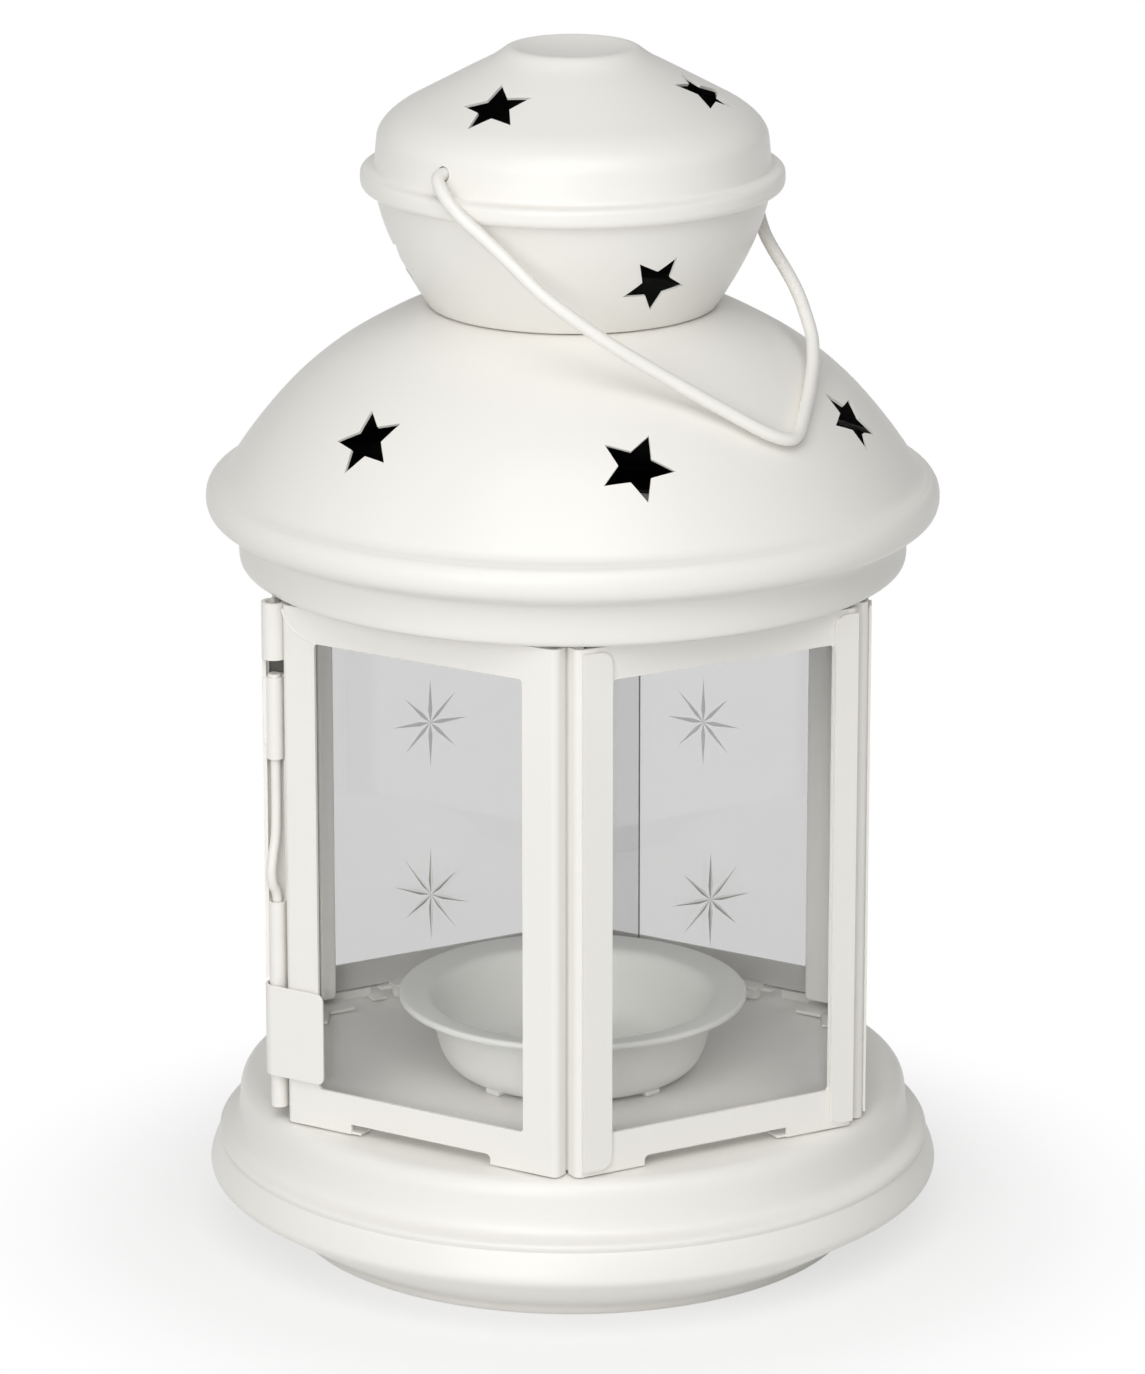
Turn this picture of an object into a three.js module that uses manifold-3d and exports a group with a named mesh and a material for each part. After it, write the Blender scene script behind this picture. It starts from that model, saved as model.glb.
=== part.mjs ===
// White powder-coated sheet-steel lantern with a hexagonal glazed body, a pierced
// roof, a wire bail and a hinged door for a small cup candle.
// Millimetres, +Z up. The lantern stands on z = 0 with its axis on the Z axis.
// The front of the lantern looks toward -Y, and bearings are degrees from -Y toward +X.
import * as THREE from 'three';
import { mergeVertices } from 'three/addons/utils/BufferGeometryUtils.js';
import Module from 'manifold-3d';

const wasm = await Module();
wasm.setup();
const { Manifold, Mesh: SolidMesh } = wasm;

// Sheet, wire and gaps
const SEGMENTS = 40;          // facets round every turned piece
const CLEAR = 0.3;            // gap left between neighbouring pieces
const SHEET = 0.6;            // body sheet
const SHELL = 0.7;            // pans, roof shells and cup
const GLASS_THICK = 1.8;
const PANE_GAP = 0.35;        // play of a pane behind the face and between the flanges

// Hexagonal body
const APOTHEM = 50.4;         // axis to the outer face of a side
const BODY_HEIGHT = 93.2;     // base pan to roof pan
const BODY_TURN = -1.0;       // how far the front corner is turned from -Y
const CORNER_GROOVE = 1.9;    // half of the groove left between two sides at a corner
const BEND = 1.2;             // outer radius of a corner bend
const FLANGE = 2.85;          // depth of the inward flanges at the corners
const STILE = 6.7;            // face width left beside a window
const BOTTOM_RAIL = 7.0;
const TOP_RAIL = 5.9;

// Base
const FLOOR_TOP = 27.4;       // top of the base pan, where the body stands
const RIM_TOP = 16.3;         // seam of the base pan and the foot dish
const PAN_LEDGE = 1.33;       // how far the base pan's wall stands outside the body's corners
const RIM_REACH = 5.5;        // rim beyond the base pan's wall
const FOOT_SLOPE = 14.4;      // rim to the outer edge of the foot lip
const LIP_WIDTH = 1.5;
const FOOT_RECESS = 1.4;      // closed bottom above the floor

// Candle cup
const CUP_RADIUS = 23.5;      // inside, near the mouth
const CUP_DEPTH = 13.9;       // floor pan to the top of the cup's rim
const CUP_BRIM = 5.5;         // width of the flat rim
const CUP_LIFT = 0.8;         // cup above the base pan

// Roof
const CEILING_RING = 13.5;    // width of the flat ring over the body
const BEAD_REACH = 5.6;       // roof bead beyond the skirt
const BEAD_RISE = 11.1;       // ceiling to the middle of the bead
const DOME_RISE = 30.1;
const NECK_RADIUS = 25.5;     // waist of the neck bowl
const BOWL_RISE = 17.3;       // waist to the bowl's upper edge
const CAP_WALL = 33.5;        // outer radius of the cap's wall
const CAP_RING = 2.6;         // crimped ring beyond the cap's wall
const CAP_CRIMP = 6.2;        // height of the crimped ring
const CAP_STRAIGHT = 3.0;     // height of the cap's plain wall
const CONE_RISE = 15.1;       // wall to the top of the crown ring
const CROWN_RADIUS = 10.7;
const DOME_STAR = 6.2;        // star openings, centre to tip
const BOWL_STAR = 5.45;
const CAP_STAR = 5.9;
const STAR_WAIST = 0.46;      // inner to outer radius of a star

// Hinge of the door
const PIN_RADIUS = 0.85;
const HINGE_PLAY = 0.25;      // radial play in the rolls and round them
const ROLL_WALL = 0.4;
const STRAP_THICK = 0.45;
const STRAP_LEAF = 8.9;       // hinge axis to the free edge of the strap
const STRAP_HEIGHT = 16.3;
const KNUCKLE_HEIGHT = 15.8;
const LOWER_ROLL_HEIGHT = 37.1;
const TOP_ROLL_HEIGHT = 10.0;
const HINGE_NOTCH = 1.9;      // cut between the top roll and the knuckle
const KINK_OUT = 1.3;         // sideways kink of the pin, inside the path of the door's edge
const KINK_BEARING = -45;     // the kink points away from the guard and the door

// Bail
const BAIL_RADIUS = 1.0;
const BAIL_BEARING = -40;     // bearing of the nearer bail hole
const BAIL_REACH = 66.3;      // holes to the tip of the bail
const BAIL_SPREAD = 1.5;      // how far the arms stand outside the crimped ring
const BAIL_REST = 0.4;        // gap left over the dome where the bail rests
const BAIL_TAIL = 3.1;        // length of each end inside the cap's wall
const BAIL_DROP = 1.6;        // holes below the upper edge of the cap's wall

const rad = (deg) => deg * Math.PI / 180;

// Places that follow from the sizes
const BODY_BOTTOM = FLOOR_TOP + CLEAR;
const CEILING = FLOOR_TOP + BODY_HEIGHT;
const BODY_TOP = CEILING - CLEAR - 0.1;
const FACE_HALF = APOTHEM * Math.tan(rad(30)) - CORNER_GROOVE;
const BODY_CORNER = Math.hypot(FACE_HALF, APOTHEM);
const WINDOW_HALF = FACE_HALF - STILE;
const PAN_WALL = BODY_CORNER + PAN_LEDGE;
const RIM_RADIUS = PAN_WALL + RIM_REACH;
const CUP_FLOOR = FLOOR_TOP + CUP_LIFT;
const ROOF_SKIRT = BODY_CORNER + 0.23;
const BEAD_RADIUS = ROOF_SKIRT + BEAD_REACH;
const BEAD_HEIGHT = CEILING + BEAD_RISE;
const ROLL_INNER = PIN_RADIUS + HINGE_PLAY;
const ROLL_OUTER = ROLL_INNER + ROLL_WALL;
const STRAP_INNER = ROLL_OUTER + HINGE_PLAY;
const STRAP_OUTER = STRAP_INNER + STRAP_THICK;
const GUARD_OUTER = ROLL_OUTER + 0.55;
const HINGE_OUT = APOTHEM + PANE_GAP - STRAP_INNER;
const HINGE_ALONG = -(FACE_HALF + GUARD_OUTER + HINGE_PLAY);

// Keeps positions only, welds the vertices and turns the faces outward
function tidy(geometry) {
  const bare = new THREE.BufferGeometry();
  bare.setAttribute('position', geometry.getAttribute('position').clone());
  if (geometry.index) bare.setIndex(geometry.index.clone());
  const welded = mergeVertices(bare, 1e-4);
  const p = welded.getAttribute('position');
  const source = welded.index.array;
  const kept = [];
  let volume = 0;
  const a = new THREE.Vector3();
  const b = new THREE.Vector3();
  const c = new THREE.Vector3();
  for (let i = 0; i < source.length; i += 3) {
    const [u, v, w] = [source[i], source[i + 1], source[i + 2]];
    if (u === v || v === w || u === w) continue;
    kept.push(u, v, w);
    a.fromBufferAttribute(p, u);
    b.fromBufferAttribute(p, v);
    c.fromBufferAttribute(p, w);
    volume += a.dot(b.clone().cross(c)) / 6;
  }
  if (volume < 0) {
    for (let i = 0; i < kept.length; i += 3) {
      const swap = kept[i + 1];
      kept[i + 1] = kept[i + 2];
      kept[i + 2] = swap;
    }
  }
  welded.setIndex(kept);
  return welded;
}

function toSolid(geometry) {
  const g = tidy(geometry);
  return new Manifold(new SolidMesh({
    numProp: 3,
    vertProperties: new Float32Array(g.getAttribute('position').array),
    triVerts: new Uint32Array(g.index.array),
  }));
}

function fromSolid(solid) {
  const mesh = solid.getMesh();
  const g = new THREE.BufferGeometry();
  g.setAttribute('position', new THREE.Float32BufferAttribute(mesh.vertProperties, 3));
  g.setIndex(Array.from(mesh.triVerts));
  return g;
}

function cut(geometry, tools) {
  let solid = toSolid(geometry);
  for (const tool of tools) solid = solid.subtract(toSolid(tool));
  return fromSolid(solid);
}

function join(pieces) {
  let solid = toSolid(pieces[0]);
  for (const piece of pieces.slice(1)) solid = solid.add(toSolid(piece));
  return fromSolid(solid);
}

// Points of a curve from a to b that is drawn toward the point c
function bow(a, c, b, steps) {
  const curve = new THREE.QuadraticBezierCurve(
    new THREE.Vector2(...a), new THREE.Vector2(...c), new THREE.Vector2(...b),
  );
  return curve.getPoints(steps).map((p) => [p.x, p.y]);
}

// Turned piece from a run of [radius, height] that closes on the axis or on itself
function turned(profile) {
  const points = profile.map(([r, z]) => new THREE.Vector2(r, z));
  const onAxis = profile[0][0] === 0 && profile[profile.length - 1][0] === 0;
  if (!onAxis) points.push(points[0].clone());
  const g = new THREE.LatheGeometry(points, SEGMENTS);
  g.rotateX(Math.PI / 2);
  return tidy(g);
}

// The same run moved sideways by the wall: the sheet lies on the run's right.
// A steep free edge is cut level.
function behind(run, wall) {
  const last = run.length - 1;
  return run.map(([r, z], i) => {
    const [r0, z0] = run[Math.max(i - 1, 0)];
    const [r1, z1] = run[Math.min(i + 1, last)];
    const before = new THREE.Vector2(r - r0, z - z0).normalize();
    const after = new THREE.Vector2(r1 - r, z1 - z).normalize();
    const way = before.add(after).normalize();
    const edge = i === 0 || i === last;
    if (edge && Math.abs(way.y) > 0.7) return [r + wall / way.y, z];
    const spread = edge ? 1 : Math.max(0.6, after.dot(way));
    return [r === 0 ? 0 : r + way.y * wall / spread, z - way.x * wall / spread];
  });
}

// Pressed shell: a run of its visible side, with the sheet behind it
function shell(run) {
  return turned([...run, ...behind(run, SHELL).reverse()]);
}

// Radius and slope of a run at a height
function onRun(run, height) {
  for (let i = 1; i < run.length; i += 1) {
    const [r0, z0] = run[i - 1];
    const [r1, z1] = run[i];
    if ((z0 - height) * (z1 - height) <= 0 && z0 !== z1) {
      const slope = (r1 - r0) / (z1 - z0);
      return { radius: r0 + slope * (height - z0), slope };
    }
  }
  throw new Error(`no point of the outline at height ${height}`);
}

// Upright prism: outline of [x, y] raised from z0 to z1
function upright(outline, z0, z1) {
  const shape = new THREE.Shape(outline.map(([x, y]) => new THREE.Vector2(x, y)));
  const g = new THREE.ExtrudeGeometry(shape, { depth: z1 - z0, bevelEnabled: false });
  g.translate(0, 0, z0);
  return g;
}

function block(x0, x1, y0, y1, z0, z1) {
  const g = new THREE.BoxGeometry(x1 - x0, y1 - y0, z1 - z0);
  g.translate((x0 + x1) / 2, (y0 + y1) / 2, (z0 + z1) / 2);
  return g;
}

function arc(cx, cy, radius, fromDeg, toDeg, steps) {
  const out = [];
  for (let i = 0; i <= steps; i += 1) {
    const t = rad(fromDeg + (toDeg - fromDeg) * i / steps);
    out.push([cx + radius * Math.cos(t), cy + radius * Math.sin(t)]);
  }
  return out;
}

// Part of a tube wall round (cx, cy), as an outline
function bandOutline(cx, cy, inner, outer, fromDeg, toDeg, steps) {
  const out = arc(cx, cy, outer, fromDeg, toDeg, steps);
  return out.concat(arc(cx, cy, inner, toDeg, fromDeg, steps));
}

function tube(cx, cy, inner, outer, z0, z1, steps) {
  const turn = 360 - 360 / steps;
  const ring = upright(arc(cx, cy, outer, 0, turn, steps - 1), z0, z1);
  const bore = upright(arc(cx, cy, inner, 0, turn, steps - 1), z0 - 1, z1 + 1);
  return cut(ring, [bore]);
}

// Round wire along a list of points
function wire(points, radius, steps, sides) {
  const shape = new THREE.Shape(
    arc(0, 0, radius, 0, 360 - 360 / sides, sides - 1).map(([x, y]) => new THREE.Vector2(x, y)),
  );
  const path = new THREE.CatmullRomCurve3(points, false, 'centripetal');
  return tidy(new THREE.ExtrudeGeometry(shape, { steps, extrudePath: path, bevelEnabled: false }));
}

// Direction of a bearing in the plan
function toward(bearingDeg) {
  const b = rad(bearingDeg);
  return new THREE.Vector3(Math.sin(b), -Math.cos(b), 0);
}

// Frame of one side of the body: x runs along the side, y points outward, z is up
function sideMatrix(index) {
  const bearing = BODY_TURN - 30 + 60 * index;
  return new THREE.Matrix4().makeBasis(
    toward(bearing + 90), toward(bearing), new THREE.Vector3(0, 0, 1),
  );
}

// That frame is left-handed, so the faces are turned outward again after the move
function placeOnSide(geometry, index) {
  const g = tidy(geometry);
  g.applyMatrix4(sideMatrix(index));
  return tidy(g);
}

// Five-pointed star for a pierced opening, pushed through the run along its normal
function starTool(run, height, size, bearingDeg, turnDeg) {
  const { radius, slope } = onRun(run, height);
  const outline = [];
  for (let i = 0; i < 10; i += 1) {
    const r = i % 2 === 0 ? size : size * STAR_WAIST;
    const t = rad(90 + turnDeg + 36 * i);
    outline.push([r * Math.cos(t), r * Math.sin(t)]);
  }
  const g = upright(outline, -4.5, 4.5);
  const side = toward(bearingDeg + 90);
  const out = toward(bearingDeg);
  const uphill = out.clone().multiplyScalar(slope).add(new THREE.Vector3(0, 0, 1)).normalize();
  const normal = side.clone().cross(uphill).normalize();
  const m = new THREE.Matrix4().makeBasis(side, uphill, normal);
  m.setPosition(out.clone().multiplyScalar(radius - 0.3).add(new THREE.Vector3(0, 0, height)));
  g.applyMatrix4(m);
  return g;
}

// Finish colours
const paint = new THREE.MeshStandardMaterial({ color: 0xeeede8, roughness: 0.55, metalness: 0.0 });
const cupPaint = new THREE.MeshStandardMaterial({ color: 0xe2e1db, roughness: 0.6, metalness: 0.0 });
const glassLook = new THREE.MeshStandardMaterial({
  color: 0xcfd6d2, roughness: 0.1, metalness: 0.0, transparent: true, opacity: 0.35,
});

const lantern = new THREE.Group();
lantern.name = 'star_lantern';

function addPart(name, geometry, material) {
  const g = tidy(geometry);
  g.computeVertexNormals();
  const mesh = new THREE.Mesh(g, material);
  mesh.name = name;
  lantern.add(mesh);
}

// Foot dish: the rolled rim, the sloping underside, the foot lip and the closed bottom
const LIP_RADIUS = RIM_RADIUS - FOOT_SLOPE;
const rimOuter = [
  [RIM_RADIUS - 1.5, RIM_TOP - 6.7], [RIM_RADIUS - 0.5, RIM_TOP - 6.0],
  [RIM_RADIUS, RIM_TOP - 5.0], [RIM_RADIUS - 0.2, RIM_TOP - 3.7],
  [RIM_RADIUS - 1.1, RIM_TOP - 1.9], [RIM_RADIUS - 2.7, RIM_TOP],
];
const rimInner = [
  [RIM_RADIUS - 2.7 - SHELL - 0.1, RIM_TOP], [RIM_RADIUS - 1.8, RIM_TOP - 2.1],
  [RIM_RADIUS - 0.9, RIM_TOP - 4.0], [RIM_RADIUS - 1.2, RIM_TOP - 5.4],
];
addPart('foot_dish', turned([
  [0, FOOT_RECESS], [LIP_RADIUS - LIP_WIDTH - 1.2, FOOT_RECESS],
  [LIP_RADIUS - LIP_WIDTH, 0], [LIP_RADIUS, 0], [LIP_RADIUS + 0.3, FOOT_RECESS + 0.1],
  [LIP_RADIUS + 1.3, FOOT_RECESS + 0.8], ...rimOuter, ...rimInner,
  [LIP_RADIUS - 0.2, FOOT_RECESS + SHELL + 0.2], [0, FOOT_RECESS + SHELL],
]), paint);

// Base pan: the stepped drum that carries the body
const PAN_EDGE = RIM_RADIUS - 2.7;
addPart('base_pan', shell([
  [0, FLOOR_TOP], [PAN_WALL - 2.2, FLOOR_TOP], [PAN_WALL - 1.2, FLOOR_TOP - 0.4],
  [PAN_WALL - 0.4, FLOOR_TOP - 1.3], [PAN_WALL, FLOOR_TOP - 2.5],
  [PAN_WALL + 0.3, FLOOR_TOP - 5.4], ...bow([PAN_WALL + 0.7, RIM_TOP + 4.1],
    [PAN_WALL + 1.5, RIM_TOP + 2.2], [PAN_EDGE, RIM_TOP + CLEAR], 2),
]), paint);

// Candle cup with its broad rim, and the three clinch feet under it
const CUP_TOP = CUP_FLOOR + CUP_DEPTH - CUP_LIFT - 0.2;
const cupRun = [
  [0, CUP_FLOOR + SHELL], [CUP_RADIUS - 6.3, CUP_FLOOR + SHELL],
  [CUP_RADIUS - 4.4, CUP_FLOOR + 1.2], [CUP_RADIUS - 2.7, CUP_FLOOR + 2.5],
  [CUP_RADIUS - 1.6, CUP_FLOOR + 4.3], [CUP_RADIUS - 0.7, CUP_TOP - 5.3],
  [CUP_RADIUS, CUP_TOP - 1.3], [CUP_RADIUS + 1.1, CUP_TOP + 0.2],
  [CUP_RADIUS + 1.1 + CUP_BRIM - 0.5, CUP_TOP + 0.8], [CUP_RADIUS + 1.1 + CUP_BRIM, CUP_TOP + 0.6],
];
const FOOT_OUT = CUP_RADIUS - 5.3;
const cupFeet = [12, 132, 252].map((bearing) => {
  const g = block(-2.2, 2.2, -FOOT_OUT, -FOOT_OUT + 3, FLOOR_TOP + CLEAR, CUP_FLOOR + 0.3);
  g.rotateZ(rad(bearing));
  return g;
});
addPart('candle_cup', join([shell(cupRun), ...cupFeet]), cupPaint);

// Sheet section of one side: face, rounded bends and inward flanges
function sideSection(rightFlange, leftEnd, rightEnd) {
  const inner = BEND - SHEET;
  const face = APOTHEM;
  const deep = APOTHEM - FLANGE;
  const out = [];
  if (rightFlange) {
    out.push([rightEnd, deep]);
    out.push(...arc(rightEnd - BEND, face - BEND, BEND, 0, 90, 3));
  } else {
    out.push([rightEnd, face - SHEET], [rightEnd, face]);
  }
  out.push(...arc(leftEnd + BEND, face - BEND, BEND, 90, 180, 3));
  out.push([leftEnd, deep], [leftEnd + SHEET, deep]);
  out.push(...arc(leftEnd + BEND, face - BEND, inner, 180, 90, 3));
  if (rightFlange) {
    out.push(...arc(rightEnd - BEND, face - BEND, inner, 90, 0, 3));
    out.push([rightEnd - SHEET, deep]);
  }
  return out;
}

// Raised hem over one stile, with its inner corners rounded
function hem(side) {
  const round = 2.4;
  const inner = WINDOW_HALF + 0.5;
  const outer = FACE_HALF - BEND;
  const low = BODY_BOTTOM + 0.4;
  const high = BODY_TOP - 0.6;
  const outline = [[outer, low], [outer, high]];
  outline.push(...arc(inner + round, high - round, round, 90, 180, 4));
  outline.push(...arc(inner + round, low + round, round, 180, 270, 4));
  const shape = new THREE.Shape(outline.map(([x, z]) => new THREE.Vector2(side * x, z)));
  const g = new THREE.ExtrudeGeometry(shape, { depth: SHEET - 0.1, bevelEnabled: false });
  g.rotateX(Math.PI / 2);
  g.translate(0, APOTHEM + 0.35, 0);
  return g;
}

// Stamped frame of one side with its window, its cut-out sill and the two floor tabs
const SILL_HALF = 14;
const SILL_RISE = 1.4;
const TAB_REACH = 6.2;
function sideFrame({ rightFlange = true, rightEnd = FACE_HALF, hems = [-1, 1] }) {
  const sheet = upright(sideSection(rightFlange, -FACE_HALF, rightEnd), BODY_BOTTOM, BODY_TOP);
  const through = [APOTHEM - 2, APOTHEM + 2];
  const opening = block(-WINDOW_HALF, WINDOW_HALF, ...through,
    BODY_BOTTOM + BOTTOM_RAIL, BODY_TOP - TOP_RAIL);
  const sillTop = BODY_BOTTOM + SILL_RISE;
  const sill = block(-SILL_HALF, SILL_HALF, ...through, BODY_BOTTOM - 1, sillTop);
  const extras = [
    block(0.8 - SILL_HALF, SILL_HALF - 0.8, APOTHEM - 2.4, APOTHEM - 0.2, sillTop - 0.1, sillTop + 0.5),
  ];
  for (const s of [-1, 1]) {
    const [x0, x1] = [s * (SILL_HALF - 5), s * (SILL_HALF + 2.5)];
    extras.push(block(Math.min(x0, x1), Math.max(x0, x1),
      APOTHEM - TAB_REACH, APOTHEM - SHEET / 2, BODY_BOTTOM, BODY_BOTTOM + SHEET));
  }
  for (const s of hems) extras.push(hem(s));
  return join([cut(sheet, [opening, sill]), ...extras]);
}

// The glass stands between the flanges, behind the face
function sidePane(left, right) {
  const front = APOTHEM - SHEET - PANE_GAP;
  return block(left, right, front - GLASS_THICK, front, BODY_BOTTOM + 2.3, BODY_TOP - 0.9);
}

const PANE_HALF = FACE_HALF - SHEET - PANE_GAP;

addPart('door_frame', placeOnSide(sideFrame({ hems: [] }), 0), paint);
addPart('door_glass', placeOnSide(sidePane(-PANE_HALF, PANE_HALF), 0), glassLook);

const fixedSides = [
  ['right_front', 1],
  ['right', 2],
  ['back_right', 3],
  ['back_left', 4],
];
for (const [name, index] of fixedSides) {
  addPart(`frame_${name}`, placeOnSide(sideFrame({}), index), paint);
  addPart(`glass_${name}`, placeOnSide(sidePane(-PANE_HALF, PANE_HALF), index), glassLook);
}

// Left side: its front edge is rolled into the hinge instead of a flange
const hingeWorld = new THREE.Vector3(HINGE_ALONG, HINGE_OUT, 0).applyMatrix4(sideMatrix(0));
const hingeLeft = hingeWorld.clone().applyMatrix4(sideMatrix(5).invert());
const hu = hingeLeft.x;
const hw = hingeLeft.y;
const LEFT_END = hu - STRAP_OUTER - 0.4;
const NOTCH_TOP = BODY_TOP - TOP_ROLL_HEIGHT;
const KNUCKLE_TOP = NOTCH_TOP - HINGE_NOTCH;
const KNUCKLE_BOTTOM = KNUCKLE_TOP - KNUCKLE_HEIGHT;
const LOWER_ROLL_BOTTOM = BODY_BOTTOM + 2.1;
const LOWER_ROLL_TOP = LOWER_ROLL_BOTTOM + LOWER_ROLL_HEIGHT;
const STRAP_BOTTOM = LOWER_ROLL_BOTTOM + 6.0;
const STRAP_TOP = STRAP_BOTTOM + STRAP_HEIGHT;
const STRAP_ROOM = 0.9;       // free height over and under the strap
const guardInner = ROLL_OUTER - 0.1;
const leftPieces = [
  sideFrame({ rightFlange: false, rightEnd: LEFT_END, hems: [-1] }),
  block(LEFT_END - 0.3, hu - 1.5, APOTHEM - SHEET, APOTHEM, STRAP_TOP + STRAP_ROOM, BODY_TOP),
  block(LEFT_END - 0.3, hu - 1.2, APOTHEM - SHEET, APOTHEM, LOWER_ROLL_BOTTOM, STRAP_BOTTOM - STRAP_ROOM),
  upright(bandOutline(hu, hw, guardInner, GUARD_OUTER, -80, 190, 15), NOTCH_TOP, BODY_TOP),
  upright(bandOutline(hu, hw, guardInner, GUARD_OUTER, 88, 190, 6), STRAP_TOP + STRAP_ROOM, NOTCH_TOP),
  tube(hu, hw, ROLL_INNER, ROLL_OUTER, KNUCKLE_BOTTOM, KNUCKLE_TOP, 14),
  tube(hu, hw, ROLL_INNER, ROLL_OUTER, LOWER_ROLL_BOTTOM, LOWER_ROLL_TOP, 14),
];
addPart('frame_left', placeOnSide(join(leftPieces), 5), paint);
addPart('glass_left', placeOnSide(sidePane(-PANE_HALF, LEFT_END - 0.4), 5), glassLook);

// Hinge pin: a wire with a kink that keeps it from dropping through the rolls
const PIN_TOP = KNUCKLE_TOP - 0.2;
const KINK_HEIGHT = LOWER_ROLL_TOP + 5.1;
const kinkWay = toward(KINK_BEARING);
const pinPoint = (z, out) => hingeWorld.clone().add(kinkWay.clone().multiplyScalar(out)).setZ(z);
const kinkRun = [
  [10, 0.03], [6.5, 0.19], [3, 0.69], [0, 1], [-2, 0.75], [-3.3, 0.22], [-4.8, 0],
].map(([up, share]) => pinPoint(KINK_HEIGHT + up, share * KINK_OUT));
addPart('hinge_pin', wire([
  pinPoint(PIN_TOP, 0), pinPoint(KNUCKLE_BOTTOM + 7, 0), pinPoint(KNUCKLE_BOTTOM - 2, 0),
  ...kinkRun, pinPoint(LOWER_ROLL_TOP - 3, 0), pinPoint(LOWER_ROLL_TOP - 10.9, 0),
], PIN_RADIUS, 30, 8), paint);

// Strap of the door: wrapped round the lower roll, its leaf lying on the door's face
const wrap = upright(bandOutline(HINGE_ALONG, HINGE_OUT, STRAP_INNER, STRAP_OUTER,
  90, 255, 12), STRAP_BOTTOM, STRAP_TOP);
const LEAF_ROUND = 1.3;
const leafEnd = HINGE_ALONG + STRAP_LEAF;
const leafShape = [[HINGE_ALONG - 0.02, STRAP_BOTTOM]];
leafShape.push(...arc(leafEnd - LEAF_ROUND, STRAP_BOTTOM + LEAF_ROUND, LEAF_ROUND, -90, 0, 4));
leafShape.push(...arc(leafEnd - LEAF_ROUND, STRAP_TOP - LEAF_ROUND, LEAF_ROUND, 0, 90, 4));
leafShape.push([HINGE_ALONG - 0.02, STRAP_TOP]);
const leaf = upright(leafShape, 0, STRAP_THICK);
leaf.rotateX(Math.PI / 2);
leaf.translate(0, HINGE_OUT + STRAP_OUTER, 0);
addPart('hinge_strap', placeOnSide(join([wrap, leaf]), 0), paint);

// Roof pan: the bead, the flare, the skirt and the ceiling ring, from the top down
const DOME_RADIUS = BEAD_RADIUS - 3.0;
const ROOF_TOP = BEAD_HEIGHT + 3.8;
const roofRun = [
  [DOME_RADIUS + 0.3, ROOF_TOP], [BEAD_RADIUS - 1.4, ROOF_TOP - 0.7],
  [BEAD_RADIUS - 0.2, ROOF_TOP - 2.4], [BEAD_RADIUS, BEAD_HEIGHT], [BEAD_RADIUS - 0.4, BEAD_HEIGHT - 1.3],
  [BEAD_RADIUS - 1.6, BEAD_HEIGHT - 2.2], [ROOF_SKIRT + 3.0, BEAD_HEIGHT - 3.5],
  [ROOF_SKIRT + 1.3, CEILING + 5.5], [ROOF_SKIRT, CEILING + 3.6], [ROOF_SKIRT, CEILING + 1.9],
  [ROOF_SKIRT - 0.7, CEILING + 0.6], [ROOF_SKIRT - 2.1, CEILING], [ROOF_SKIRT - CEILING_RING, CEILING],
];
addPart('roof_pan', shell(roofRun), paint);

// Dome with six star openings
const DOME_SEAT = ROOF_TOP + 0.6;
const DOME_TOP = DOME_SEAT + DOME_RISE;
const DOME_MOUTH = NECK_RADIUS - 3.5;
const domeShape = new THREE.SplineCurve([
  [0.105, 0.977], [0.189, 0.927], [0.291, 0.860], [0.470, 0.728], [0.606, 0.595], [0.717, 0.462],
  [0.808, 0.329], [0.890, 0.196], [0.961, 0.063], [1, 0],
].map(([out, up]) => new THREE.Vector2(
  DOME_MOUTH + (DOME_RADIUS - DOME_MOUTH) * out, DOME_SEAT + DOME_RISE * up,
)));
const domeRun = [[DOME_MOUTH, DOME_TOP], ...domeShape.getPoints(9).map((p) => [p.x, p.y])];
const domeStars = [[12.5, -27], [-45.5, 28], [70.5, 10], [132, -12], [192, 30], [252, 4]]
  .map(([bearing, turn]) => starTool(domeRun, DOME_SEAT + 0.429 * DOME_RISE, DOME_STAR, bearing, turn));
addPart('dome', cut(shell(domeRun), domeStars), paint);

// Neck bowl with three star openings, from its upper edge down to the seat on the dome
const BOWL_SEAT = DOME_TOP + CLEAR + 0.2;
const WAIST = BOWL_SEAT + 1.3;
const BOWL_TOP = WAIST + BOWL_RISE;
const BOWL_EDGE = CAP_WALL + 0.1;
const bowlRun = [
  ...bow([BOWL_EDGE, BOWL_TOP], [BOWL_EDGE - 1.3, BOWL_TOP - 0.44 * BOWL_RISE], [NECK_RADIUS, WAIST], 6),
  [NECK_RADIUS + 0.1, WAIST - 1.0], [NECK_RADIUS - 0.6, BOWL_SEAT - 0.3], [NECK_RADIUS - 4.0, BOWL_SEAT],
];
const bowlStars = [[27.3, -31], [-92.7, 12], [147.3, 24]]
  .map(([bearing, turn]) => starTool(bowlRun, WAIST + 0.4 * BOWL_RISE, BOWL_STAR, bearing, turn));
addPart('neck_bowl', cut(shell(bowlRun), bowlStars), paint);

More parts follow.
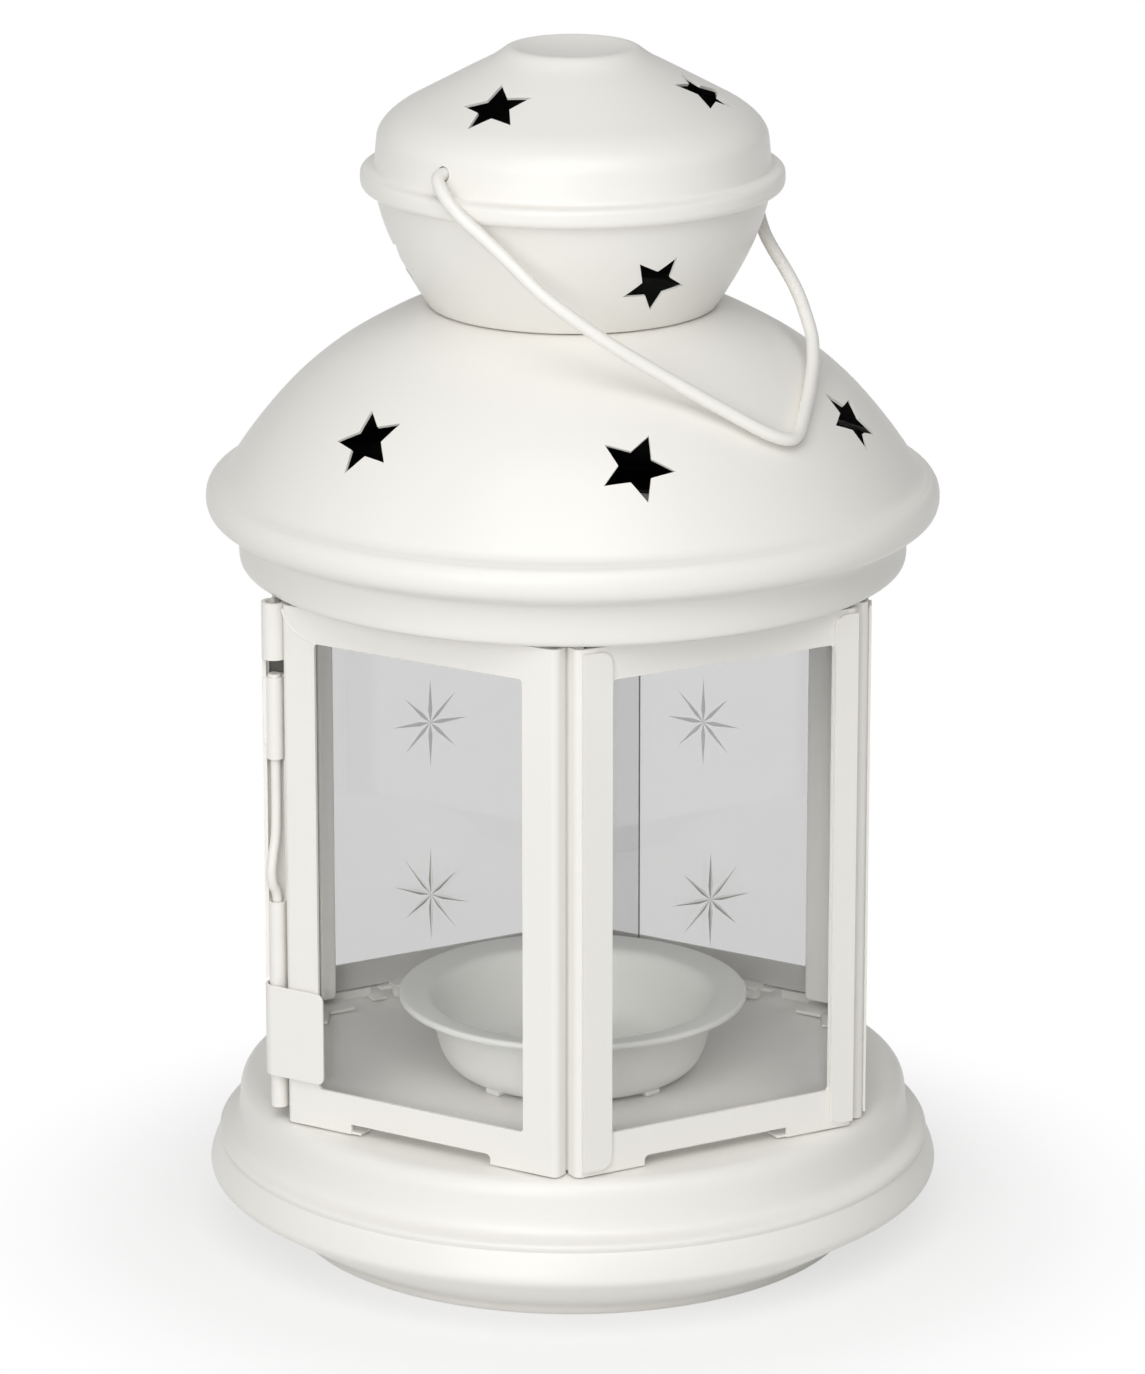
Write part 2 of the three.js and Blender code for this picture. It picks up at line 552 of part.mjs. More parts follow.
// Cap: recess and crown ring, cone with stars, wall with the two bail holes, crimped ring
const RING_BOTTOM = BOWL_TOP + 0.4;
const RING_RADIUS = CAP_WALL + CAP_RING;
const WALL_BOTTOM = RING_BOTTOM + CAP_CRIMP;
const WALL_TOP = WALL_BOTTOM + CAP_STRAIGHT;
const CROWN_TOP = WALL_TOP + CONE_RISE;
const capRun = [
  [0, CROWN_TOP - 1.7], [CROWN_RADIUS - 2.1, CROWN_TOP - 1.4], [CROWN_RADIUS - 0.9, CROWN_TOP - 0.5],
  [CROWN_RADIUS, CROWN_TOP], [CROWN_RADIUS + 0.8, CROWN_TOP - 0.2], [CROWN_RADIUS + 1.7, CROWN_TOP - 1.1],
  [CROWN_RADIUS + 3.1, CROWN_TOP - 2.1],
  ...bow([CAP_WALL - 4.9, WALL_TOP + 5.1], [CAP_WALL - 0.3, WALL_TOP + 2.3], [CAP_WALL, WALL_TOP], 4),
  [CAP_WALL, WALL_BOTTOM], [CAP_WALL + 1.1, WALL_BOTTOM - 0.7], [RING_RADIUS - 0.4, WALL_BOTTOM - 1.8],
  [RING_RADIUS, WALL_BOTTOM - 3.3], [RING_RADIUS - 0.3, WALL_BOTTOM - 4.7],
  [RING_RADIUS - 1.2, WALL_BOTTOM - 5.8], [CAP_WALL, RING_BOTTOM],
];
const capStars = [[-34.8, 21], [75.9, -27], [200, 8]]
  .map(([bearing, turn]) => starTool(capRun, WALL_TOP + 0.523 * CONE_RISE, CAP_STAR, bearing, turn));
const BAIL_HEIGHT = WALL_TOP - BAIL_DROP;
const bailHole = new THREE.CylinderGeometry(
  BAIL_RADIUS + PANE_GAP, BAIL_RADIUS + PANE_GAP, 3 * CAP_WALL, 12,
);
bailHole.rotateZ(rad(BAIL_BEARING));
bailHole.translate(0, 0, BAIL_HEIGHT);
addPart('cap', cut(shell(capRun), [bailHole, ...capStars]), paint);

// Bail: one bent wire, its ends sprung into the two holes of the cap's wall.
// Its route is given in the bail's own plane: along the holes' axis in half spans of
// the arms, and away from that axis in reaches.
const BAIL_HALF = RING_RADIUS + BAIL_SPREAD;
const bailShape = [
  [0.957, 0.008], [0.989, 0.039], [1, 0.098], [0.995, 0.181], [0.960, 0.296], [0.888, 0.409],
  [0.729, 0.567], [0.582, 0.685], [0.396, 0.822], [0.239, 0.931], [0.144, 0.985], [0.080, 1],
  [0.011, 0.986], [-0.069, 0.955], [-0.207, 0.899], [-0.420, 0.799], [-0.532, 0.730],
  [-0.609, 0.658], [-0.665, 0.561], [-0.702, 0.469], [-0.755, 0.377], [-0.856, 0.279],
  [-0.957, 0.189], [-1, 0.106], [-0.989, 0.039], [-0.957, 0.008],
].map(([along, away]) => [along * BAIL_HALF, away * BAIL_REACH]);
const bailRoute = [
  [CAP_WALL - BAIL_TAIL, 0], [CAP_WALL + 0.1, 0], ...bailShape,
  [-CAP_WALL - 0.1, 0], [BAIL_TAIL - CAP_WALL, 0],
];
const bailAxis = toward(BAIL_BEARING);
const bailOut = toward(BAIL_BEARING + 90);

function bailPoint([along, away], droopDeg) {
  const down = new THREE.Vector3(0, 0, -Math.sin(rad(droopDeg)));
  return bailAxis.clone().multiplyScalar(along)
    .add(bailOut.clone().multiplyScalar(Math.cos(rad(droopDeg))).add(down).multiplyScalar(away))
    .setZ(BAIL_HEIGHT - Math.sin(rad(droopDeg)) * away);
}

// Least distance between the bail's centre line and the dome at one droop
function bailGap(droopDeg) {
  const path = new THREE.CatmullRomCurve3(
    bailRoute.map((point) => bailPoint(point, droopDeg)), false, 'centripetal',
  );
  let least = Infinity;
  const at = new THREE.Vector2();
  const [start, end, near] = [new THREE.Vector3(), new THREE.Vector3(), new THREE.Vector3()];
  for (const p of path.getPoints(240)) {
    at.set(Math.hypot(p.x, p.y), p.z);
    for (let i = 1; i < domeRun.length; i += 1) {
      start.set(...domeRun[i - 1], 0);
      end.set(...domeRun[i], 0);
      new THREE.Line3(start, end).closestPointToPoint(new THREE.Vector3(at.x, at.y, 0), true, near);
      least = Math.min(least, Math.hypot(near.x - at.x, near.y - at.y));
    }
  }
  return least;
}

// The bail swings down until it rests on the dome
function restingDroop() {
  let high = 5;
  let low = 85;
  for (let i = 0; i < 20; i += 1) {
    const middle = (high + low) / 2;
    if (bailGap(middle) > BAIL_RADIUS + BAIL_REST) high = middle;
    else low = middle;
  }
  return high;
}

const BAIL_DROOP = restingDroop();
addPart('bail', wire(bailRoute.map((point) => bailPoint(point, BAIL_DROOP)), BAIL_RADIUS, 76, 8), paint);

export default lantern;
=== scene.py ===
import math

import bmesh
import bpy
from mathutils import Matrix, Vector


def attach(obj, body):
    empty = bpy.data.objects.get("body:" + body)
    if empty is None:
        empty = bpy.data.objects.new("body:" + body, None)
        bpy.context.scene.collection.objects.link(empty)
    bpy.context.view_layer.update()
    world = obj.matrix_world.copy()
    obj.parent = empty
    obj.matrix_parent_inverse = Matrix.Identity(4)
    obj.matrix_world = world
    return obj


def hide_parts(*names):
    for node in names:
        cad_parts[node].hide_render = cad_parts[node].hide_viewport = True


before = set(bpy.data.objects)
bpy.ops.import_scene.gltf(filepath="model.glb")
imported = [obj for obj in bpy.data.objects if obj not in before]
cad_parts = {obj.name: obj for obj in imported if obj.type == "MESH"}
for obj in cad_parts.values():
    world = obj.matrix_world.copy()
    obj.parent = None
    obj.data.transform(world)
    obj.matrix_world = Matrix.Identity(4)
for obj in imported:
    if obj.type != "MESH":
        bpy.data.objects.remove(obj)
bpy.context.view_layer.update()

bpy.ops.object.select_all(action="DESELECT")

MM = 0.001
TURNS = 192              # facets round a turned piece
SHELL = 0.7              # pans, roof shells and cup
ROOF_SHELL = 0.5         # dome, bowl and cap
SHEET = 0.6              # body sheet
APOTHEM = 50.4           # axis to the outer face of a side
FACE_HALF = 27.2
BEND = 1.2
FLANGE = 2.85
BODY_LOW = 27.7
BODY_HIGH = 120.2
WINDOW_HALF = 20.5
WIDE_WINDOW = 22.25      # right edge of a fixed side's window
WINDOW_LOW = 34.7
WINDOW_HIGH = 114.3
PANE_FRONT = 49.45
PANE_THICK = 1.8
SILL_HALF = 14.0
SILL_TOP = 29.5
STAR_WAIST = 0.46        # inner to outer radius of a pierced star
DOME_STAR = 6.6          # centre to point
BOWL_STAR = 5.9
CAP_STAR = 6.35
DOME_STARS_UP = 149.0    # height of the stars' middles
BOWL_STARS_UP = 174.9
CAP_STARS_UP = 203.0
PUNCH = 9.0
BAIL_HEIGHT = 193.3      # axis of the bail's two holes
BAIL_BEARING = -40       # bearing of the nearer hole
BAIL_DROOP = 39.97       # degrees that the resting bail hangs below level
BAIL_HOLE = 1.3
BAIL_WIRE = 1.12
PIN_WIRE = 0.85
PANE_HALF = 26.25
PAINT_EDGE = 0.16        # radius of a painted sheet edge
SIDE_BEARINGS = [-31, 29, 89, 149, 209, 269]


# Small workshop helpers
def mm(*values):
    """A place or a step given in millimetres."""
    return Vector([value * MM for value in values])


def take(piece):
    """Puts one piece alone in hand."""
    bpy.ops.object.select_all(action="DESELECT")
    piece.select_set(True)
    bpy.context.view_layer.objects.active = piece


def start_edit(piece):
    take(piece)
    bpy.ops.object.mode_set(mode="EDIT")


def end_edit():
    bpy.ops.object.mode_set(mode="OBJECT")


def pick(piece, kind, test):
    """Selects the vertices, edges or faces of the edited piece that pass a test, given in mm."""
    bpy.ops.mesh.select_mode(type=kind)
    bpy.ops.mesh.select_all(action="DESELECT")
    cage = bmesh.from_edit_mesh(piece.data)
    group = {"VERT": cage.verts, "EDGE": cage.edges, "FACE": cage.faces}[kind]
    for item in group:
        if kind == "VERT":
            spots = [item.co / MM]
        else:
            spots = [vertex.co / MM for vertex in item.verts]
        if all(test(spot) for spot in spots):
            item.select = True
    cage.select_flush_mode()
    bmesh.update_edit_mesh(piece.data)


def use_modifier(piece, kind, **settings):
    """Adds one modifier and applies it."""
    take(piece)
    modifier = piece.modifiers.new(kind.title(), kind)
    for name, value in settings.items():
        setattr(modifier, name, value)
    bpy.ops.object.modifier_apply(modifier=modifier.name)


def join_pieces(pieces):
    """Several meshes made into one object."""
    bpy.ops.object.select_all(action="DESELECT")
    for piece in pieces:
        piece.select_set(True)
    bpy.context.view_layer.objects.active = pieces[0]
    if len(pieces) > 1:
        bpy.ops.object.join()
    return pieces[0]


def cut_away(piece, cutters):
    """Takes the cutters out of a piece in one cut."""
    cutter = join_pieces(cutters)
    use_modifier(piece, "BOOLEAN", object=cutter, operation="DIFFERENCE", solver="EXACT")
    bpy.data.objects.remove(cutter)


def weld_on(piece, others):
    """Makes the others one solid with the piece."""
    for other in others:
        use_modifier(piece, "BOOLEAN", object=other, operation="UNION", solver="EXACT")
        bpy.data.objects.remove(other)


def round_edges(piece, radius, angle=35, segments=2):
    use_modifier(
        piece, "BEVEL", width=radius * MM, segments=segments, limit_method="ANGLE",
        angle_limit=math.radians(angle), use_clamp_overlap=True, miter_outer="MITER_ARC",
    )


def copy_piece(piece, name):
    twin = piece.copy()
    twin.data = piece.data.copy()
    twin.name = name
    bpy.context.scene.collection.objects.link(twin)
    return twin


def swing(piece, bearing):
    """Turns a piece that was built facing the front to its bearing round the lantern."""
    take(piece)
    piece.rotation_euler = (0, 0, math.radians(bearing))
    bpy.ops.object.transform_apply(location=True, rotation=True, scale=True)
    return piece


def finish_piece(piece, body, nodes, finish, smooth=30):
    """Gives a piece its finish and shading, hangs it on its body and hides the CAD parts that it takes the
    place of.
    """
    take(piece)
    bpy.ops.object.shade_smooth_by_angle(angle=math.radians(smooth))
    if smooth > 1:
        use_modifier(piece, "WEIGHTED_NORMAL", keep_sharp=True)
    if finish:
        piece.data.materials.clear()
        piece.data.materials.append(finish)
    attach(piece, body)
    if nodes:
        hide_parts(*nodes)


# Lines and runs
def smooth_line(points, steps):
    """Points on a soft curve through the given ones."""
    given = [Vector(point) for point in points]
    given = [given[0] * 2 - given[1]] + given + [given[-1] * 2 - given[-2]]
    line = []
    for a, b, c, d in zip(given, given[1:], given[2:], given[3:]):
        tb = (b - a).length ** 0.5
        tc = tb + (c - b).length ** 0.5
        td = tc + (d - c).length ** 0.5
        for step in range(steps):
            t = tb + (tc - tb) * step / steps
            ab = a.lerp(b, t / tb)
            bc = b.lerp(c, (t - tb) / (tc - tb))
            cd = c.lerp(d, (t - tc) / (td - tc))
            abc = ab.lerp(bc, t / tc)
            bcd = bc.lerp(cd, (t - tb) / (td - tb))
            line.append(abc.lerp(bcd, (t - tb) / (tc - tb)))
    line.append(given[-2])
    return line


def soft_run(points, reach=1.0, steps=4):
    """A run whose corners are rounded over at most this reach."""
    given = [Vector(point) for point in points]
    run = [given[0]]
    for before, corner, after in zip(given, given[1:], given[2:]):
        back = before - corner
        ahead = after - corner
        start = corner + back.normalized() * min(reach, back.length / 2)
        end = corner + ahead.normalized() * min(reach, ahead.length / 2)
        for step in range(steps + 1):
            t = step / steps
            spot = start.lerp(corner, t).lerp(corner.lerp(end, t), t)
            if (spot - run[-1]).length > 0.01:
                run.append(spot)
    run.append(given[-1])
    return run


def bow(start, pull, end, steps):
    """A run from start to end that is drawn toward the pull."""
    a, b, c = Vector(start), Vector(pull), Vector(end)
    return [a.lerp(b, i / steps).lerp(b.lerp(c, i / steps), i / steps) for i in range(steps + 1)]


def arc(centre_x, centre_y, radius, first, last, steps):
    """Points on an arc, in degrees."""
    spots = []
    for step in range(steps + 1):
        angle = math.radians(first + (last - first) * step / steps)
        spots.append((centre_x + radius * math.cos(angle), centre_y + radius * math.sin(angle)))
    return spots


def draw_line(name, points):
    """A line of vertices drawn by extruding one point."""
    bpy.ops.mesh.primitive_plane_add(size=MM, location=mm(*points[0]))
    piece = bpy.context.object
    piece.name = name
    bpy.ops.object.transform_apply(location=True)
    bpy.ops.object.mode_set(mode="EDIT")
    bpy.ops.mesh.select_mode(type="VERT")
    bpy.ops.mesh.select_all(action="SELECT")
    bpy.ops.mesh.merge(type="CENTER")
    for here, there in zip(points, points[1:]):
        step = mm(*(b - a for a, b in zip(here, there)))
        bpy.ops.mesh.extrude_region_move(TRANSFORM_OT_translate={"value": step})
    end_edit()
    return piece


def curled_sheet(name, line, low, high, thick):
    """Sheet whose middle line is drawn in the plan as along and outward, raised and given its wall."""
    piece = draw_line(name, [(x, -y, low) for x, y in line])
    start_edit(piece)
    bpy.ops.mesh.select_all(action="SELECT")
    bpy.ops.mesh.extrude_region_move(TRANSFORM_OT_translate={"value": mm(0, 0, high - low)})
    bpy.ops.mesh.select_all(action="SELECT")
    bpy.ops.mesh.normals_make_consistent(inside=False)
    end_edit()
    use_modifier(piece, "SOLIDIFY", thickness=thick * MM, offset=0, use_even_offset=True)
    return piece


def bent_wire(name, points, radius, sides=6):
    """Round wire along a line of points."""
    piece = draw_line(name, points)
    take(piece)
    bpy.ops.object.convert(target="CURVE")
    wire = bpy.context.object
    wire.data.bevel_depth = radius * MM
    wire.data.bevel_resolution = sides
    wire.data.use_fill_caps = True
    bpy.ops.object.convert(target="MESH")
    wire = bpy.context.object
    start_edit(wire)
    bpy.ops.mesh.select_all(action="SELECT")
    bpy.ops.mesh.remove_doubles(threshold=0.00001)
    bpy.ops.mesh.normals_make_consistent(inside=False)
    end_edit()
    return wire


def block(name, x_range, out_range, z_range, rounded=0.0, corners=None, segments=6):
    """Block built facing the front; the edges that run through the sheet may be rounded."""
    size = [b - a for a, b in (x_range, out_range, z_range)]
    middle = [(a + b) / 2 for a, b in (x_range, out_range, z_range)]
    bpy.ops.mesh.primitive_cube_add(size=1, location=mm(middle[0], -middle[1], middle[2]))
    piece = bpy.context.object
    piece.name = name
    piece.scale = mm(*size)
    bpy.ops.object.transform_apply(location=True, rotation=True, scale=True)
    if rounded:
        start_edit(piece)
        chosen = corners or [(sx, sz) for sx in (-1, 1) for sz in (-1, 1)]
        bpy.ops.mesh.select_mode(type="EDGE")
        bpy.ops.mesh.select_all(action="DESELECT")
        cage = bmesh.from_edit_mesh(piece.data)
        for edge in cage.edges:
            a, b = [vertex.co / MM for vertex in edge.verts]
            if abs(a.x - b.x) < 1e-3 and abs(a.z - b.z) < 1e-3:
                side = (1 if a.x > middle[0] else -1, 1 if a.z > middle[2] else -1)
                edge.select = side in chosen
        bmesh.update_edit_mesh(piece.data)
        bpy.ops.mesh.bevel(offset=rounded * MM, segments=segments, affect="EDGES")
        end_edit()
    return piece


def turn_on_lathe(name, run):
    """Turned surface: a ring drawn along a run of radius and height, its visible side on the run's left."""
    rings = [(point[0], point[1]) for point in run if point[0] > 0]
    radius, height = rings[0]
    bpy.ops.mesh.primitive_circle_add(vertices=TURNS, radius=radius * MM, location=mm(0, 0, height))
    piece = bpy.context.object
    piece.name = name
    bpy.ops.object.transform_apply(location=True)
    bpy.ops.object.mode_set(mode="EDIT")
    bpy.ops.mesh.select_mode(type="VERT")
    bpy.ops.mesh.select_all(action="SELECT")
    for (r0, z0), (r1, z1) in zip(rings, rings[1:]):
        bpy.ops.mesh.extrude_region_move(TRANSFORM_OT_translate={"value": mm(0, 0, z1 - z0)})
        grow = r1 / r0
        bpy.ops.transform.resize(value=(grow, grow, 1), center_override=mm(0, 0, z1))
    if run[-1][0] == 0:
        bpy.ops.mesh.edge_face_add()
    if run[0][0] == 0:
        pick(piece, "VERT", lambda spot: abs(spot.z - height) < 1e-3
             and abs(math.hypot(spot.x, spot.y) - radius) < 1e-3)
        bpy.ops.mesh.edge_face_add()
    bpy.ops.mesh.select_all(action="SELECT")
    bpy.ops.mesh.normals_make_consistent(inside=False)
    cage = bmesh.from_edit_mesh(piece.data)
    cage.faces.ensure_lookup_table()
    first = cage.faces[0]
    middle = first.calc_center_median()
    (r0, z0), (r1, z1) = rings[0], rings[1]
    out = Vector((middle.x, middle.y, 0)).normalized()
    left = out * (z0 - z1) + Vector((0, 0, r1 - r0))
    if first.normal.dot(left) < 0:
        bpy.ops.mesh.flip_normals()
    end_edit()
    return piece


def turned_shell(name, run, wall=SHELL, finishes=()):
    """Lathe surface with its wall; a second finish goes on the inside."""
    piece = turn_on_lathe(name, run)
    for finish in finishes:
        piece.data.materials.append(finish)
    use_modifier(
        piece, "SOLIDIFY", thickness=wall * MM, offset=-1, use_even_offset=True,
        material_offset=max(len(finishes) - 1, 0), material_offset_rim=max(len(finishes) - 1, 0),
    )
    return piece


def toward(bearing):
    angle = math.radians(bearing)
    return Vector((math.sin(angle), -math.cos(angle), 0))


def on_run(run, height):
    """Radius and slope of a run at a height."""
    for (r0, z0), (r1, z1) in zip(run, run[1:]):
        if (z0 - height) * (z1 - height) <= 0 and z0 != z1:
            slope = (r1 - r0) / (z1 - z0)
            return r0 + slope * (height - z0), slope
    raise ValueError(f"no point of the run at {height}")


def star_punch(run, height, size, bearing, turn):
    """Five-pointed punch that stands square on the run."""
    bpy.ops.mesh.primitive_circle_add(
        vertices=10, radius=size * MM, fill_type="NGON", location=mm(0, 0, -PUNCH / 2),
        rotation=(0, 0, math.radians(turn)),
    )
    punch = bpy.context.object
    bpy.ops.object.transform_apply(location=True, rotation=True)
    bpy.ops.object.mode_set(mode="EDIT")
    bpy.ops.mesh.select_mode(type="VERT")
    cage = bmesh.from_edit_mesh(punch.data)
    for vertex in cage.verts:
        vertex.select = vertex.index % 2 == 1
    cage.select_flush_mode()
    bmesh.update_edit_mesh(punch.data)
    bpy.ops.transform.resize(value=(STAR_WAIST, STAR_WAIST, 1), center_override=(0, 0, 0))
    bpy.ops.mesh.select_all(action="SELECT")
    bpy.ops.mesh.extrude_region_move(TRANSFORM_OT_translate={"value": mm(0, 0, PUNCH)})
    bpy.ops.mesh.select_all(action="SELECT")
    bpy.ops.mesh.normals_make_consistent(inside=False)
    end_edit()
    radius, slope = on_run(run, height)
    side = toward(bearing + 90)
    out = toward(bearing)
    uphill = (out * slope + Vector((0, 0, 1))).normalized()
    normal = side.cross(uphill).normalized()
    place = Matrix((side, uphill, normal)).transposed().to_4x4()
    place.translation = (out * (radius - 0.3) + Vector((0, 0, height))) * MM
    punch.matrix_world = place
    return punch


# Finishes
def linear(hex_colour):
    """sRGB hex to the linear colour that nodes take."""
    parts = [int(hex_colour[i:i + 2], 16) / 255 for i in (1, 3, 5)]
    return [c / 12.92 if c <= 0.04045 else ((c + 0.055) / 1.055) ** 2.4 for c in parts] + [1.0]


def add_node(material, kind, settings=None, links=None, **values):
    """One node with its settings, its fixed values and what feeds it."""
    tree = material.node_tree
    node = tree.nodes.new(kind)
    for name, value in (settings or {}).items():
        setattr(node, name, value)
    for name, value in values.items():
        node.inputs[name.replace("_", " ")].default_value = value
    for name, source in (links or {}).items():
        tree.links.new(source, node.inputs[name])
    return node


def new_material(name):
    material = bpy.data.materials.new(name)
    material.use_nodes = True
    material.node_tree.nodes.clear()
    return material


def powder_coat(name, light, deep, roughness):
    """Baked polyester powder coat on steel sheet: a satin skin with a faint orange peel."""
    material = new_material(name)
    place = add_node(material, "ShaderNodeTexCoord").outputs["Object"]
    # Cloudy change of the film, about 45 mm across
    cloud = add_node(
        material, "ShaderNodeTexNoise", links={"Vector": place}, Scale=22.0, Detail=2.0, Roughness=0.5,
    )
    tone = add_node(
        material, "ShaderNodeMix", {"data_type": "RGBA"}, {"Factor": cloud.outputs["Fac"]},
    )
    tone.inputs["A"].default_value = linear(light)
    tone.inputs["B"].default_value = linear(deep)
    # Orange peel, real about 0.8 mm, drawn at 1.1 mm so that it shows
    peel = add_node(
        material, "ShaderNodeTexNoise", links={"Vector": place}, Scale=900.0, Detail=1.5, Roughness=0.45,
    )
    bump = add_node(
        material, "ShaderNodeBump", links={"Height": peel.outputs["Fac"]},
        Strength=0.35, Distance=0.00005,
    )
    # The satin varies a little where the film is thicker
    satin = add_node(
        material, "ShaderNodeMapRange", links={"Value": cloud.outputs["Fac"]},
        From_Min=0.3, From_Max=0.7, To_Min=roughness - 0.04, To_Max=roughness + 0.05,
    )
    surface = add_node(
        material, "ShaderNodeBsdfPrincipled",
        links={
            "Base Color": tone.outputs["Result"],
            "Roughness": satin.outputs["Result"],
            "Normal": bump.outputs["Normal"],
        },
        IOR=1.5,
    )
    add_node(material, "ShaderNodeOutputMaterial", links={"Surface": surface.outputs["BSDF"]})
    return material


def float_glass(name, tint, shade_tint):
    """Thin float glass: clear, with a faint grey that deepens where panes overlap."""
    material = new_material(name)
    place = add_node(material, "ShaderNodeTexCoord").outputs["Object"]
    # Slow waves of drawn window glass, about 25 mm long
    wave = add_node(
        material, "ShaderNodeTexNoise", links={"Vector": place}, Scale=40.0, Detail=0.0,
    )
    bump = add_node(
        material, "ShaderNodeBump", links={"Height": wave.outputs["Fac"]}, Strength=0.05, Distance=0.0002,
    )
    clear = add_node(
        material, "ShaderNodeBsdfPrincipled", links={"Normal": bump.outputs["Normal"]},
        Base_Color=linear(tint), Roughness=0.0, IOR=1.5, Transmission_Weight=1.0,
    )
    shade = add_node(material, "ShaderNodeBsdfTransparent", Color=linear(shade_tint))
    path = add_node(material, "ShaderNodeLightPath")
    mixed = add_node(
        material, "ShaderNodeMixShader",
        links={"Fac": path.outputs["Is Shadow Ray"], 1: clear.outputs["BSDF"], 2: shade.outputs["BSDF"]},
    )
    add_node(material, "ShaderNodeOutputMaterial", links={"Surface": mixed.outputs["Shader"]})
    return material


def ground_glass(name, light, deep, cover):
    """Wheel-cut glass left matt: the cut scatters light and looks grey against the clear pane."""
    material = new_material(name)
    place = add_node(material, "ShaderNodeTexCoord").outputs["Object"]
    # Wheel marks, real under 0.05 mm, drawn at 0.3 mm so that they show
    grit = add_node(
        material, "ShaderNodeTexNoise", links={"Vector": place}, Scale=3300.0, Detail=1.0,
    )
    tone = add_node(
        material, "ShaderNodeMix", {"data_type": "RGBA"}, {"Factor": grit.outputs["Fac"]},
    )
    tone.inputs["A"].default_value = linear(light)
    tone.inputs["B"].default_value = linear(deep)
    surface = add_node(
        material, "ShaderNodeBsdfPrincipled", links={"Base Color": tone.outputs["Result"]},
        Roughness=0.7, IOR=1.5, Alpha=cover,
    )
    add_node(material, "ShaderNodeOutputMaterial", links={"Surface": surface.outputs["BSDF"]})
    return material


# Satin white that shows soft lights, a near-black painted shade for the roof's inside, a grey painted shade
# for the hollow of the hinge roll, a cup white painted lighter for the dim light inside the lantern, and
# ground glass with painted light and shade on its cut flanks
white_coat = powder_coat("white powder coat, satin", "#F3F1EC", "#EFEDE7", 0.37)
# The roof's inside is coloured near-black: painted shade for the dark seen through the star openings
roof_inside_painted_shade = powder_coat("near-black painted shade, inside the roof", "#161615", "#1B1B19", 0.75)
# Grey painted shade for the hollow of the hinge roll, which is white sheet in shade
roll_painted_shade = powder_coat("grey painted shade, inside the hinge roll", "#6A6A66", "#5E5E5A", 0.6)
# The cup's white is lighter than the same coat elsewhere: painted light, making up for the dim light inside
# the lantern
cup_coat_painted_lighter = powder_coat("white powder coat, cup, painted lighter", "#F9F9F5", "#F5F5F0", 0.38)
window_glass = float_glass("float glass", "#E6E6E6", "#F8F8F8")
# Lighter and darker copies of the same ground glass: painted light and painted shade on the two flanks of
# each cut
cut_painted_lit = ground_glass("ground glass, flank in painted light", "#D4D5D1", "#C6C7C2", 0.7)
cut_painted_shaded = ground_glass("ground glass, flank in painted shade", "#8E8F8A", "#7D7E79", 0.75)
far_painted_lit = ground_glass("ground glass of the back panes, flank in painted light", "#DCDDD9", "#D0D1CC", 0.36)
far_painted_shaded = ground_glass("ground glass of the back panes, flank in painted shade", "#A9AAA5", "#9A9B96", 0.42)

# Foot dish: rolled rim over the sloping underside and the foot lip
foot = turned_shell("foot_dish_pressing", soft_run([
    (60.5, 16.5), (61.1, 17.12), (61.6, 17.05), (62.1, 16.4), (62.8, 15.1), (63.5, 13.6), (63.95, 12.3),
    (64.1, 11.3), (63.6, 10.3), (62.6, 9.6), (51.2, 2.4), (50.1, 1.5), (49.9, 0.4), (49.4, 0.0), (48.6, 0.0),
    (48.1, 0.4), (47.2, 1.4), (0, 1.4),
], 0.8))
finish_piece(foot, "lantern", ["foot_dish"], white_coat)

# Base pan: the stepped drum
PAN_RUN = [
    (0, 27.4), (56.4, 27.4), (57.4, 27.0), (58.2, 26.1), (58.6, 24.9), (58.8, 22.0), (59.0, 20.2),
    (59.3, 19.0), (59.95, 18.3), (60.9, 17.95), (61.85, 17.7), (62.35, 17.4), (62.5, 16.9), (62.25, 16.2),
]
pan = turned_shell("base_pan_pressing", soft_run(PAN_RUN, 0.6))
finish_piece(pan, "lantern", ["base_pan"], white_coat)

# Candle cup with its broad rolled rim and four clinch feet
cup = turned_shell("candle_cup_pressing", soft_run([
    (0, 28.25), (13.0, 28.25), (17.8, 28.25), (19.9, 28.8), (21.5, 30.3), (22.5, 32.5), (23.3, 36.0),
    (23.7, 39.5), (24.5, 41.0), (25.8, 41.4), (29.3, 41.95), (30.0, 41.9), (30.3, 41.4), (30.15, 40.9),
]))
round_edges(cup, 0.25, segments=3)
for cup_bearing in (-42, 42, 138, 222):
    clinch = block("clinch", (-1.6, 1.6), (17.6, 20.6), (27.42, 28.5))
    round_edges(clinch, 0.4, segments=3)
    cup = join_pieces([cup, swing(clinch, cup_bearing)])
finish_piece(cup, "lantern", ["candle_cup"], cup_coat_painted_lighter)


